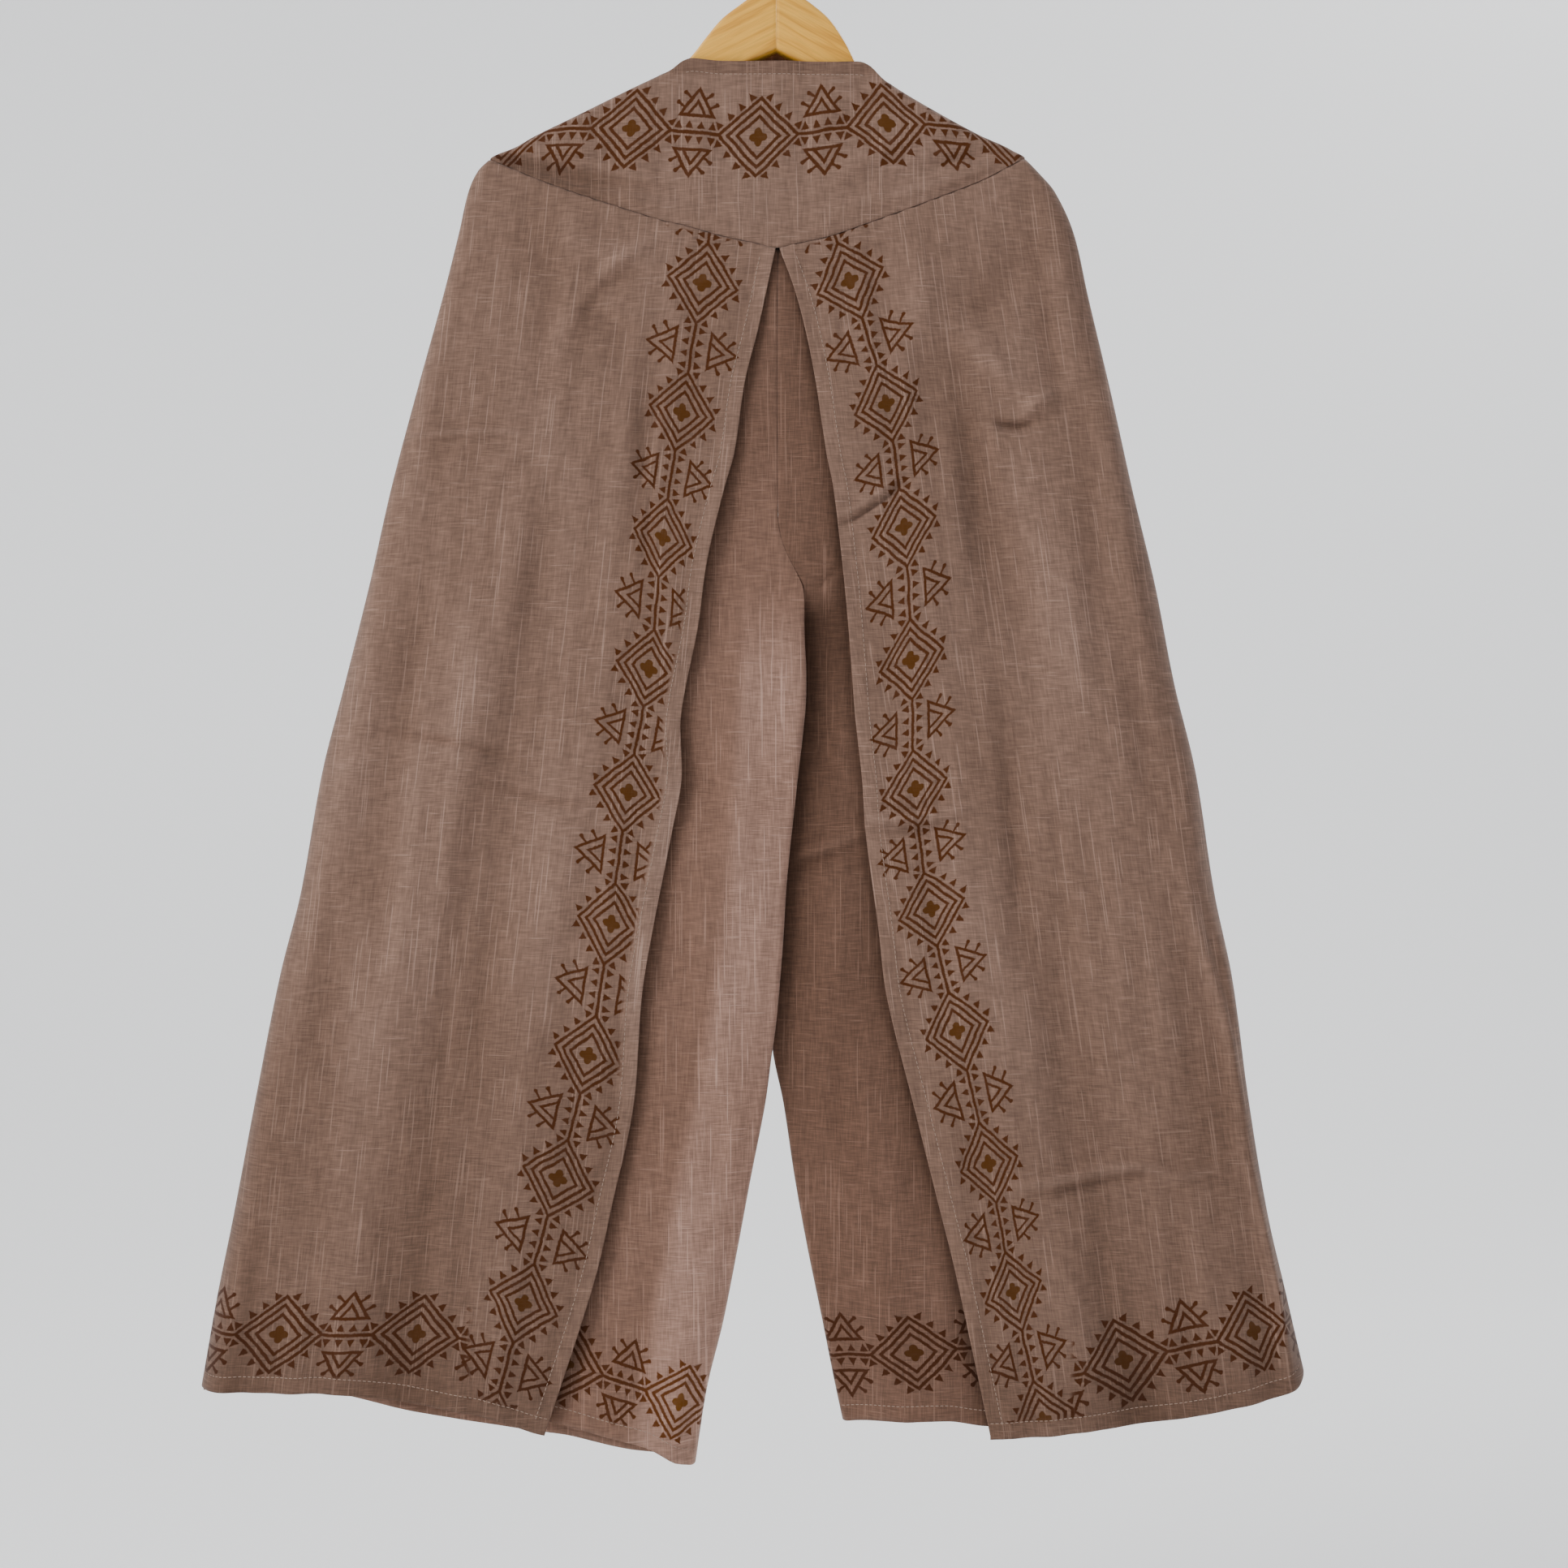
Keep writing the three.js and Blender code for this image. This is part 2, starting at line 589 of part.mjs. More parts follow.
// A closed body through rings of points, with a flat cap at each end.
function loft(name, rings, finish) {
  const count = rings[0].length;
  const positions = rings.flat().flatMap((point) => [point.x, point.y, point.z]);
  const index = [];
  for (let r = 0; r < rings.length - 1; r++) {
    for (let i = 0; i < count; i++) {
      const a = r * count + i;
      const b = r * count + ((i + 1) % count);
      index.push(a, b, b + count, a, b + count, a + count);
    }
  }
  for (let i = 1; i < count - 1; i++) {
    const last = (rings.length - 1) * count;
    index.push(0, i + 1, i);
    index.push(last, last + i, last + i + 1);
  }
  const geometry = new THREE.BufferGeometry();
  geometry.setAttribute('position', new THREE.Float32BufferAttribute(positions, 3));
  geometry.setIndex(index);
  add(name, geometry, finish);
}

// Hanger arms: flat wood with rounded edges, mitred together at the neck. Each is a row of rounded
// sections from the mitre to the tip, its crown from the table and then straight along the shoulder.
// Slopes are drop over distance across. The underside runs straight from a peak between the arms.
const CROWN = table(
  ['across', 'left', 'right'],
  [
    [0, -57, -57],
    [8, -55.5, -55.5],
    [16, -52, -52],
    [29, -43, -43],
    [41, -33.5, -32],
    [52, -20.5, -15.5],
    [62, -7.5, 4],
    [70, 0.5, 11],
    [82, 8.8, 18.4],
  ],
);
const CROWN_END = 82;
const MITRE = 0.08;
const ARMS = {
  left: { length: 206, slope: 0.5, bottomEnd: 92 },
  right: { length: 186, slope: 0.555, bottomEnd: 98 },
};
const UNDERSIDE_PEAK = -10;
const TIP_LENGTH = 12;
const STATIONS = [MITRE, 4, 10, 18, 28, 40, 52, 62, 72, 84];
const STRAIGHT_STEPS = 5;
const TIP_ANGLES = [25, 50, 70, 84];
const ROUNDING_SHARE = 0.98;
const CORNER_STEPS = [0, 45, 90];
const CORNERS = [
  { y: 1, z: 1, from: 0 },
  { y: -1, z: 1, from: 90 },
  { y: -1, z: -1, from: 180 },
  { y: 1, z: -1, from: 270 },
];

function armSection(side, across, shrink) {
  const arm = ARMS[side];
  const beyond = Math.max(0, across - CROWN_END);
  const top = CROWN(side, Math.min(across, CROWN_END)) + arm.slope * beyond;
  const bottom = lerp(UNDERSIDE_PEAK, arm.bottomEnd, across / arm.length);
  const middle = (top + bottom) / 2;
  const halfHeight = ((bottom - top) / 2) * shrink;
  const halfThick = (WOOD_THICK / 2) * Math.sqrt(shrink);
  const rounding = Math.min(WOOD_ROUNDING, ROUNDING_SHARE * halfHeight, ROUNDING_SHARE * halfThick);
  const outwards = side === 'left' ? -1 : 1;
  const points = [];
  for (const corner of CORNERS) {
    for (const step of CORNER_STEPS) {
      const angle = THREE.MathUtils.degToRad(corner.from + step);
      const y = corner.y * (halfThick - rounding) + rounding * Math.cos(angle);
      const z = corner.z * (halfHeight - rounding) + rounding * Math.sin(angle);
      points.push(new THREE.Vector3(outwards * across, y, WAIST_Z - middle + z));
    }
  }
  return side === 'left' ? points.reverse() : points;
}

for (const side of ['left', 'right']) {
  const arm = ARMS[side];
  const tipStart = arm.length - TIP_LENGTH;
  const sections = STATIONS.map((across) => armSection(side, across, 1));
  for (let i = 1; i <= STRAIGHT_STEPS; i++) {
    sections.push(armSection(side, lerp(STATIONS.at(-1), tipStart, i / STRAIGHT_STEPS), 1));
  }
  for (const degrees of TIP_ANGLES) {
    const angle = THREE.MathUtils.degToRad(degrees);
    sections.push(armSection(side, tipStart + TIP_LENGTH * Math.sin(angle), Math.cos(angle)));
  }
  loft(`hanger_arm_${side}`, sections, WOOD);
}

// Only positions are kept, so that shared corners merge into one closed body.
function closed(geometry) {
  geometry.deleteAttribute('normal');
  geometry.deleteAttribute('uv');
  return mergeVertices(geometry, 1e-4);
}

// Hook: one bent wire, its inner top at the origin, its shank standing on the neck.
const HOOK_ARC = { from: -35, to: 195, step: 23 };
const hookCentre = WIRE / 2 - HOOK_RADIUS;
const neckZ = WAIST_Z - CROWN('left', 0);
const SHANK = [
  { x: 7, z: hookCentre - 19 },
  { x: 0.6, z: hookCentre - 29 },
  { x: 0, z: neckZ + 6 },
  { x: 0, z: neckZ + SEAM_GAP },
];
const hookRoute = [];
for (let degrees = HOOK_ARC.from; degrees <= HOOK_ARC.to; degrees += HOOK_ARC.step) {
  const angle = THREE.MathUtils.degToRad(degrees);
  const z = hookCentre + HOOK_RADIUS * Math.sin(angle);
  hookRoute.push(new THREE.Vector3(-HOOK_RADIUS * Math.cos(angle), 0, z));
}
for (const point of SHANK) hookRoute.push(new THREE.Vector3(point.x, 0, point.z));
const wire = new THREE.Shape();
wire.absarc(0, 0, WIRE / 2, 0, 2 * Math.PI);
const hook = new THREE.ExtrudeGeometry(wire, {
  steps: 32,
  curveSegments: 4,
  extrudePath: new THREE.CatmullRomCurve3(hookRoute),
});
add('hanger_hook', closed(hook), STEEL);

export default group;
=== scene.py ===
import math

import bpy
import numpy as np
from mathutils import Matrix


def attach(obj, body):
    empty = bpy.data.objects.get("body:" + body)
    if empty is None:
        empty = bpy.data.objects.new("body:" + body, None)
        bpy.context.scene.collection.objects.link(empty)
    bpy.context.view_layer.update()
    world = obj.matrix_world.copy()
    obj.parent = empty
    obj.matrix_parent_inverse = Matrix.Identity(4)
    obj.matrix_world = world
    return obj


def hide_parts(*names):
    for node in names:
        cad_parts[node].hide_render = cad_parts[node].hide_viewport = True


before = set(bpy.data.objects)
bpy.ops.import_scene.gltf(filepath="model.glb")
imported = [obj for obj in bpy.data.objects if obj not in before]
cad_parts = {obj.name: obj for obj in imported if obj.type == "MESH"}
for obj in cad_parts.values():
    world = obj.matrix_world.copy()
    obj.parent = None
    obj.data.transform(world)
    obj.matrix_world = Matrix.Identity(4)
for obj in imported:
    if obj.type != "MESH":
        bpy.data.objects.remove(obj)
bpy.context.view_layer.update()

# Camera: level, straight in front, about 1.5 m away. Left and right are as seen from the front,
# lengths are in millimetres, and heights on the cloth are drops below the front waist edge.
MM = 0.001
PIXEL = 0.6
WAIST_X_PIXEL = 956.5
WAIST_Y_PIXEL = 72
WAIST_Z = -118
FRAME_PIXELS = 1932
CLOTH_Y = -15
CAMERA_AWAY = 1500
SENSOR = 36


def photo(x_pixel, y_pixel):
    """A pixel of the photograph as (across, drop) in millimetres on the cloth."""
    return (x_pixel - WAIST_X_PIXEL) * PIXEL, (y_pixel - WAIST_Y_PIXEL) * PIXEL


middle_across, middle_drop = photo(FRAME_PIXELS / 2, FRAME_PIXELS / 2)
camera = bpy.data.objects.new("camera", bpy.data.cameras.new("camera"))
bpy.context.scene.collection.objects.link(camera)
camera.location = (
    middle_across * MM,
    (CLOTH_Y - CAMERA_AWAY) * MM,
    (WAIST_Z - middle_drop) * MM,
)
camera.rotation_euler = (math.pi / 2, 0, 0)
camera.data.sensor_width = SENSOR
camera.data.lens = SENSOR * CAMERA_AWAY / (FRAME_PIXELS * PIXEL)
bpy.context.scene.camera = camera

# Hanger arms: two flat pieces of pale varnished softwood with rounded edges, mitred together at the
# neck. Each is a row of rounded sections, wide at the neck and narrow at its rounded tip.
WOOD_THICK = 12
WOOD_ROUNDING = 4
CROWN_END = 82
UNDERSIDE_PEAK = -10
TIP_LENGTH = 12
MITRE = 0.01
MITRE_GROOVE = 0.35
MITRE_WIDE = 0.7
CROWN_ROWS = [
    (0, -57, -57),
    (8, -55.5, -55.5),
    (16, -52, -52),
    (29, -43, -43),
    (41, -33.5, -32),
    (52, -20.5, -15.5),
    (62, -7.5, 4),
    (70, 0.5, 11),
    (82, 8.8, 18.4),
]
ARMS = {
    "left": {"outwards": -1, "length": 206, "slope": 0.5, "bottom_end": 92},
    "right": {"outwards": 1, "length": 186, "slope": 0.555, "bottom_end": 98},
}
STATIONS = 90
TIP_STATIONS = 12
CORNER_STEPS = 6
GROWTH_STRETCH = (5, 60, 75)
GROWTH_LINES = 9
PORE_STRETCH = (60, 900, 1300)
WOOD_TONES = [(0, (0.99, 0.51, 0.062)), (0.55, (0.95, 0.465, 0.048)), (0.9, (0.8, 0.36, 0.032))]


def table(columns, rows):
    """Reads a table as smooth curves: a cubic through a column's values over the first column,
    whose slope at each row is that of the line between the rows beside it."""
    rows = np.array(rows, float)
    at = rows[:, 0]

    def read(name, place):
        """The value of a column's curve at that place."""
        value = rows[:, columns.index(name)]
        place = np.clip(place, at[0], at[-1])
        i = np.clip(np.searchsorted(at, place, side="right") - 1, 0, len(at) - 2)
        before = np.maximum(i - 1, 0)
        after = np.minimum(i + 2, len(at) - 1)
        span = at[i + 1] - at[i]
        t = (place - at[i]) / span
        leaving = (value[i + 1] - value[before]) / (at[i + 1] - at[before])
        arriving = (value[after] - value[i]) / (at[after] - at[i])
        return (
            (2 * t**3 - 3 * t**2 + 1) * value[i]
            + (t**3 - 2 * t**2 + t) * span * leaving
            + (3 * t**2 - 2 * t**3) * value[i + 1]
            + (t**3 - t**2) * span * arriving
        )

    return read


def smoothstep(value, low, high):
    """0 below low, 1 above high, and between them 3t squared less 2t cubed."""
    t = np.clip((value - low) / (high - low), 0, 1)
    return t * t * (3 - 2 * t)


def new_piece(name, points, faces):
    """An object in the scene: a smooth mesh of those faces through points in millimetres."""
    mesh = bpy.data.meshes.new(name)
    mesh.from_pydata((points.reshape(-1, 3) * MM).tolist(), [], faces)
    mesh.polygons.foreach_set("use_smooth", np.ones(len(mesh.polygons), bool))
    mesh.update()
    piece = bpy.data.objects.new(name, mesh)
    bpy.context.scene.collection.objects.link(piece)
    return piece


def grid_object(name, points, closed_round=False, capped=False, outward=None):
    """A piece through a grid of points, a quad between each four, with its faces turned outward.
    closed_round joins the last column to the first, and capped closes the two end rows."""
    columns, rows, _ = points.shape
    last_column = columns if closed_round else columns - 1
    i, j = np.meshgrid(np.arange(last_column), np.arange(rows - 1), indexing="ij")
    k = (i + 1) % columns
    quads = np.stack([i * rows + j, k * rows + j, k * rows + j + 1, i * rows + j + 1], -1).reshape(-1, 4)
    if outward is not None:
        across = points[1:, :-1] - points[:-1, :-1]
        down = points[:-1, 1:] - points[:-1, :-1]
        if (np.cross(across, down) @ np.array(outward)).sum() < 0:
            quads = quads[:, ::-1]
    faces = quads.tolist()
    if capped:
        first = [column * rows for column in range(columns)]
        last = [column * rows + rows - 1 for column in range(columns)]
        faces += [first, last[::-1]]
    return new_piece(name, points, faces)


crown = table(["across", "left", "right"], CROWN_ROWS)


def arm_points(side):
    """Sections across the arm: a rectangle between the crown and the straight underside with
    quarter-circle corners, shrunk towards the tip by the cosine of an angle that grows to the end."""
    arm = ARMS[side]
    tip_start = arm["length"] - TIP_LENGTH
    angle = np.linspace(0, math.radians(85), TIP_STATIONS + 1)[1:]
    across = np.concatenate([
        [MITRE], np.linspace(MITRE_WIDE, tip_start, STATIONS), tip_start + TIP_LENGTH * np.sin(angle)
    ])
    shrink = np.concatenate([np.ones(STATIONS + 1), np.cos(angle)])
    beyond = np.maximum(0, across - CROWN_END)
    top = crown(side, across) + arm["slope"] * beyond
    bottom = UNDERSIDE_PEAK + (arm["bottom_end"] - UNDERSIDE_PEAK) * across / arm["length"]
    half_high = (bottom - top) / 2 * shrink
    half_thick = WOOD_THICK / 2 * np.sqrt(shrink)
    half_thick[0] -= MITRE_GROOVE
    rounding = np.minimum(WOOD_ROUNDING, 0.98 * np.minimum(half_high, half_thick))
    turn = np.linspace(0, math.pi / 2, CORNER_STEPS)
    round_y = np.concatenate([np.cos(turn + k * math.pi / 2) for k in range(4)])
    round_z = np.concatenate([np.sin(turn + k * math.pi / 2) for k in range(4)])
    corner_y = np.repeat([1, -1, -1, 1], CORNER_STEPS)
    corner_z = np.repeat([1, 1, -1, -1], CORNER_STEPS)
    y = corner_y[:, None] * (half_thick - rounding) + rounding * round_y[:, None]
    z = corner_z[:, None] * (half_high - rounding) + rounding * round_z[:, None]
    x = np.broadcast_to(arm["outwards"] * across, y.shape)
    return np.stack([x, y, WAIST_Z - (top + bottom) / 2 + z], -1)


def node(tree, kind, inputs=(), **settings):
    """A shader node of that kind, with its inputs set to numbers or linked to other sockets."""
    made = tree.nodes.new(kind)
    for name, value in settings.items():
        setattr(made, name, value)
    for name, value in dict(inputs).items():
        if isinstance(value, bpy.types.NodeSocket):
            tree.links.new(value, made.inputs[name])
        else:
            made.inputs[name].default_value = value
    return made


def new_material(name, **sockets):
    """A material with one Principled shader, its sockets set, and its tree."""
    material = bpy.data.materials.new(name)
    material.use_nodes = True
    shader = material.node_tree.nodes["Principled BSDF"]
    for socket, value in sockets.items():
        shader.inputs[socket.replace("_", " ")].default_value = value
    return material, material.node_tree, shader


def ramp(tree, factor, stops):
    """A Color Ramp over that factor, with (place, grey or colour) stops."""
    made = node(tree, "ShaderNodeValToRGB", {"Fac": factor})
    elements = made.color_ramp.elements
    while len(elements) < len(stops):
        elements.new(0.5)
    for element, (place, colour) in zip(elements, stops):
        element.position = place
        element.color = (*colour, 1) if hasattr(colour, "__len__") else (colour, colour, colour, 1)
    return made.outputs["Color"]


def calc(tree, operation, *values):
    """The result of one Math node on sockets or numbers."""
    return node(tree, "ShaderNodeMath", dict(enumerate(values)), operation=operation).outputs[0]


def stretched(tree, place, scale):
    """A place with its axes stretched by that scale."""
    return node(tree, "ShaderNodeMapping", {"Vector": place, "Scale": scale}).outputs[0]


def noise(tree, place, scale, detail):
    """Soft noise at a place."""
    values = {"Vector": place, "Scale": scale, "Detail": detail}
    return node(tree, "ShaderNodeTexNoise", values).outputs["Fac"]


def blend(tree, share, first, second, kind="MIX"):
    """Two colours mixed by that share, or multiplied."""
    mix = {0: share, 6: first, 7: second}
    return node(tree, "ShaderNodeMix", mix, data_type="RGBA", blend_type=kind).outputs[2]


def bump(tree, shader, height, strength, distance):
    """Gives a shader fine relief from a height."""
    made = node(tree, "ShaderNodeBump", {"Height": height, "Strength": strength, "Distance": distance})
    tree.links.new(made.outputs[0], shader.inputs["Normal"])


def wood_material(side):
    """Varnished softwood: pale gold with darker growth lines that run along the arm, drawn out by
    the slope, and fine pores. The varnish is a thin clear coat."""
    material, tree, shader = new_material(
        f"hanger_wood_{side}", Roughness=0.42, Coat_Weight=0.35, Coat_Roughness=0.22, IOR=1.48
    )
    slope = -ARMS[side]["outwards"] * math.atan(ARMS[side]["slope"])
    place = node(tree, "ShaderNodeTexCoord").outputs["Object"]
    along = node(tree, "ShaderNodeMapping", {"Vector": place, "Rotation": (0, slope, 0)}).outputs[0]
    growth = noise(tree, stretched(tree, along, GROWTH_STRETCH), 1, 4)
    wave = calc(tree, "PINGPONG", calc(tree, "MULTIPLY", growth, GROWTH_LINES), 1)
    pores = noise(tree, stretched(tree, along, PORE_STRETCH), 1, 2)
    shade = ramp(tree, pores, [(0.3, 0.86), (0.6, 1.0)])
    colour = blend(tree, 1, ramp(tree, wave, WOOD_TONES), shade, "MULTIPLY")
    tree.links.new(colour, shader.inputs["Base Color"])
    bump(tree, shader, pores, 0.12, 0.0004)
    return material


for side in ARMS:
    points = arm_points(side)
    if side == "left":
        points = points[::-1]
    arm_piece = grid_object(f"wood_arm_{side}", points[:, ::-1], closed_round=True, capped=True)
    arm_piece.data.materials.append(wood_material(side))
    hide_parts(f"hanger_arm_{side}")
    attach(arm_piece, "root")

# Hook: one bent wire of plated steel, its inner top at the origin, screwed down into the neck.
WIRE = 3.4
HOOK_RADIUS = 20
HOOK_SIDES = 20
HOOK_STEPS = 140
SEAM_GAP = 0.3
STEEL_TONES = [(0.3, (0.62, 0.62, 0.63)), (0.7, (0.74, 0.74, 0.75))]


def smooth_route(marks, steps):
    """Points evenly spread by parameter on a curve through the marks, each cubic between two marks
    leaving along the line between the marks beside them."""
    marks = np.array(marks, float)
    columns = ["share"] + list("xyz")[: marks.shape[1]]
    read = table(columns, np.column_stack([np.arange(len(marks)), marks]))
    share = np.linspace(0, len(marks) - 1, steps)
    return np.stack([read(name, share) for name in columns[1:]], -1)


def tube_points(route, radius, sides):
    """Circles round a route that lies in one XZ plane, each square to the route."""
    along = np.gradient(route, axis=0)
    along /= np.linalg.norm(along, axis=1, keepdims=True)
    flat = np.broadcast_to([0.0, 1.0, 0.0], along.shape)
    beside = np.cross(along, flat)
    angle = np.linspace(0, 2 * math.pi, sides, endpoint=False)[:, None, None]
    return route[None] + radius * (np.cos(angle) * beside[None] + np.sin(angle) * flat[None])


hook_centre = WIRE / 2 - HOOK_RADIUS
neck_z = WAIST_Z - crown("left", 0)
bend = np.radians(np.arange(-35, 196, 23))
hook_marks = np.column_stack(
    [-HOOK_RADIUS * np.cos(bend), 0 * bend, hook_centre + HOOK_RADIUS * np.sin(bend)]
)
shank_marks = [
    (7, 0, hook_centre - 19),
    (0.6, 0, hook_centre - 29),
    (0, 0, neck_z + 6),
    (0, 0, neck_z + SEAM_GAP),
]
hook_route = smooth_route(np.vstack([hook_marks, shank_marks]), HOOK_STEPS)
hook_tube = tube_points(hook_route, WIRE / 2, HOOK_SIDES)
hook = grid_object("steel_hook", hook_tube, closed_round=True, capped=True)
steel, steel_tree, steel_shader = new_material("plated_steel", Metallic=1.0, Roughness=0.24)
steel_place = node(steel_tree, "ShaderNodeTexCoord").outputs["Object"]
steel_tint = ramp(steel_tree, noise(steel_tree, steel_place, 260, 3), STEEL_TONES)
steel_tree.links.new(steel_tint, steel_shader.inputs["Base Color"])
hook.data.materials.append(steel)
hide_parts("hanger_hook")
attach(hook, "root")

# Overlays: two loose panels of slub cotton over the legs, joined to the yoke and the side seams and
# free along the inner edge, which is faced and stitched. A block print runs down the edge and
# along the hem, and each hem is turned up and stitched.
BODY_ROWS = [
    (71, -214, 186, 10.2, 10.2, 8, 8, 0),
    (80, -223, 195, 10.3, 10.3, 9, 10, 0),
    (95, -230, 208, 10.6, 10.4, 11, 13, 0),
    (125, -237, 222, 11.3, 10.8, 13, 16, 1),
    (173, -249, 233, 12.6, 11.4, 15, 18, 1),
    (245, -269, 250, 15, 13, 18, 20, 2),
    (317, -288, 266, 17.5, 14.5, 20, 22, 2),
    (389, -304, 283, 20, 16, 22, 24, 2),
    (461, -322, 297, 22, 17, 24, 27, 2),
    (527, -339, 313, 23.5, 18, 25, 29, 3),
    (617, -355, 327, 25.5, 19.5, 26, 28, 3),
    (677, -370, 339, 26.5, 20.5, 26, 16, 3),
    (767, -388, 351, 28, 21.5, 26, 12, 4),
    (857, -405, 366, 29.5, 22.5, 27, 13, 4),
    (917, -417, 380, 30, 23, 27, 14, 4),
    (985, -429, 396, 31, 24, 28, 18, 4),
]
FREE_EDGE_ROWS = [
    (140, -0.6, 2.4),
    (170, -7, 13.5),
    (202, -14, 22),
    (238, -23, 29),
    (292, -31, 37),
    (317, -38, 42),
    (372, -51, 48.5),
    (420, -57.5, 53),
    (486, -70, 58),
    (533, -69.6, 63),
    (571, -76.5, 65.5),
    (643, -90.5, 75),
    (692, -98.5, 81),
    (773, -104.7, 101),
    (844, -120, 118.7),
    (889, -130, 130),
    (935, -143.7, 140),
    (1013, -169.5, 156.5),
]
YOKE_ROWS = [
    (-214, 72.5, 70.6, 71.4),
    (-205, 76, 66, 70),
    (-194, 80.5, 61.6, 66),
    (-180, 86.5, 53.5, 62),
    (-150, 97.5, 38.8, 58.5),
    (-110, 110.5, 19, 31),
    (-84, 118.5, 6.5, 17),
    (-70, 121.5, -1.5, 9),
    (-40, 130, 0, -3),
    (-14, 135.6, 0, -8.5),
    (0, 139, 0, -15.5),
    (14, 135.8, 0, -8.5),
    (40, 130, 0.6, -3),
    (70, 119.5, 2, 11),
    (84, 114.5, 13.8, 22),
    (110, 105, 30, 41),
    (150, 89.5, 52, 71.5),
    (170, 79.5, 61, 73.4),
    (180, 74, 66.6, 71),
    (186, 71.5, 69.8, 70.8),
]
HEM_ROWS = [
    (-430, 983, 979, 990),
    (-361, 981.5, 980, 997),
    (-328, 981.5, 981, 1001),
    (-252, 992, 985, 1015),
    (-213, 999, 992, 1022),
    (-169, 1013, 1004, 1030),
    (-98, 1030, 1022, 1034),
    (-60, 1040, 1039, 1038),
    (0, 1030, 1022, 1022),
    (51, 1018, 1009, 1006),
    (125, 1016, 1004, 1004),
    (157, 1016, 1008, 1004),
    (264, 1005, 999, 996),
    (326, 994, 988, 986),
    (381, 979, 974, 972),
    (396, 966, 962, 960),
]
FRONT_FOLDS = [
    # at_waist, at_hem, width, height, starts
    (-60, -205, 26, 4.5, 170),
    (-100, -262, 22, -3.5, 200),
    (-145, -322, 30, 5.5, 150),
    (-185, -372, 22, -2, 220),
    (58, 196, 26, 4.5, 170),
    (100, 250, 22, -3.5, 200),
    (140, 306, 28, 5.5, 150),
]
FOLD_LENGTH = 900
FOLD_GROWTH = 420
LEVEL = 450
LEVEL_SHARE = 0.43
FLAT_END = 0.8
INNER_TURN = 0.06
CROTCH = 398
CLOTH_THICK = 0.7
SEAM_TOUCH = 0.1
HEM_DEEP = 11.5
FACING_WIDE = 12.5

body = table(
    ["drop", "left_side", "right_side", "front", "back", "left_roll", "right_roll", "side_seam"], BODY_ROWS
)
free_edge = table(["drop", "left", "right"], FREE_EDGE_ROWS)
yoke = table(["across", "seam", "top", "back_waist"], YOKE_ROWS)
hem = table(["across", "overlay", "leg_front", "back"], HEM_ROWS)

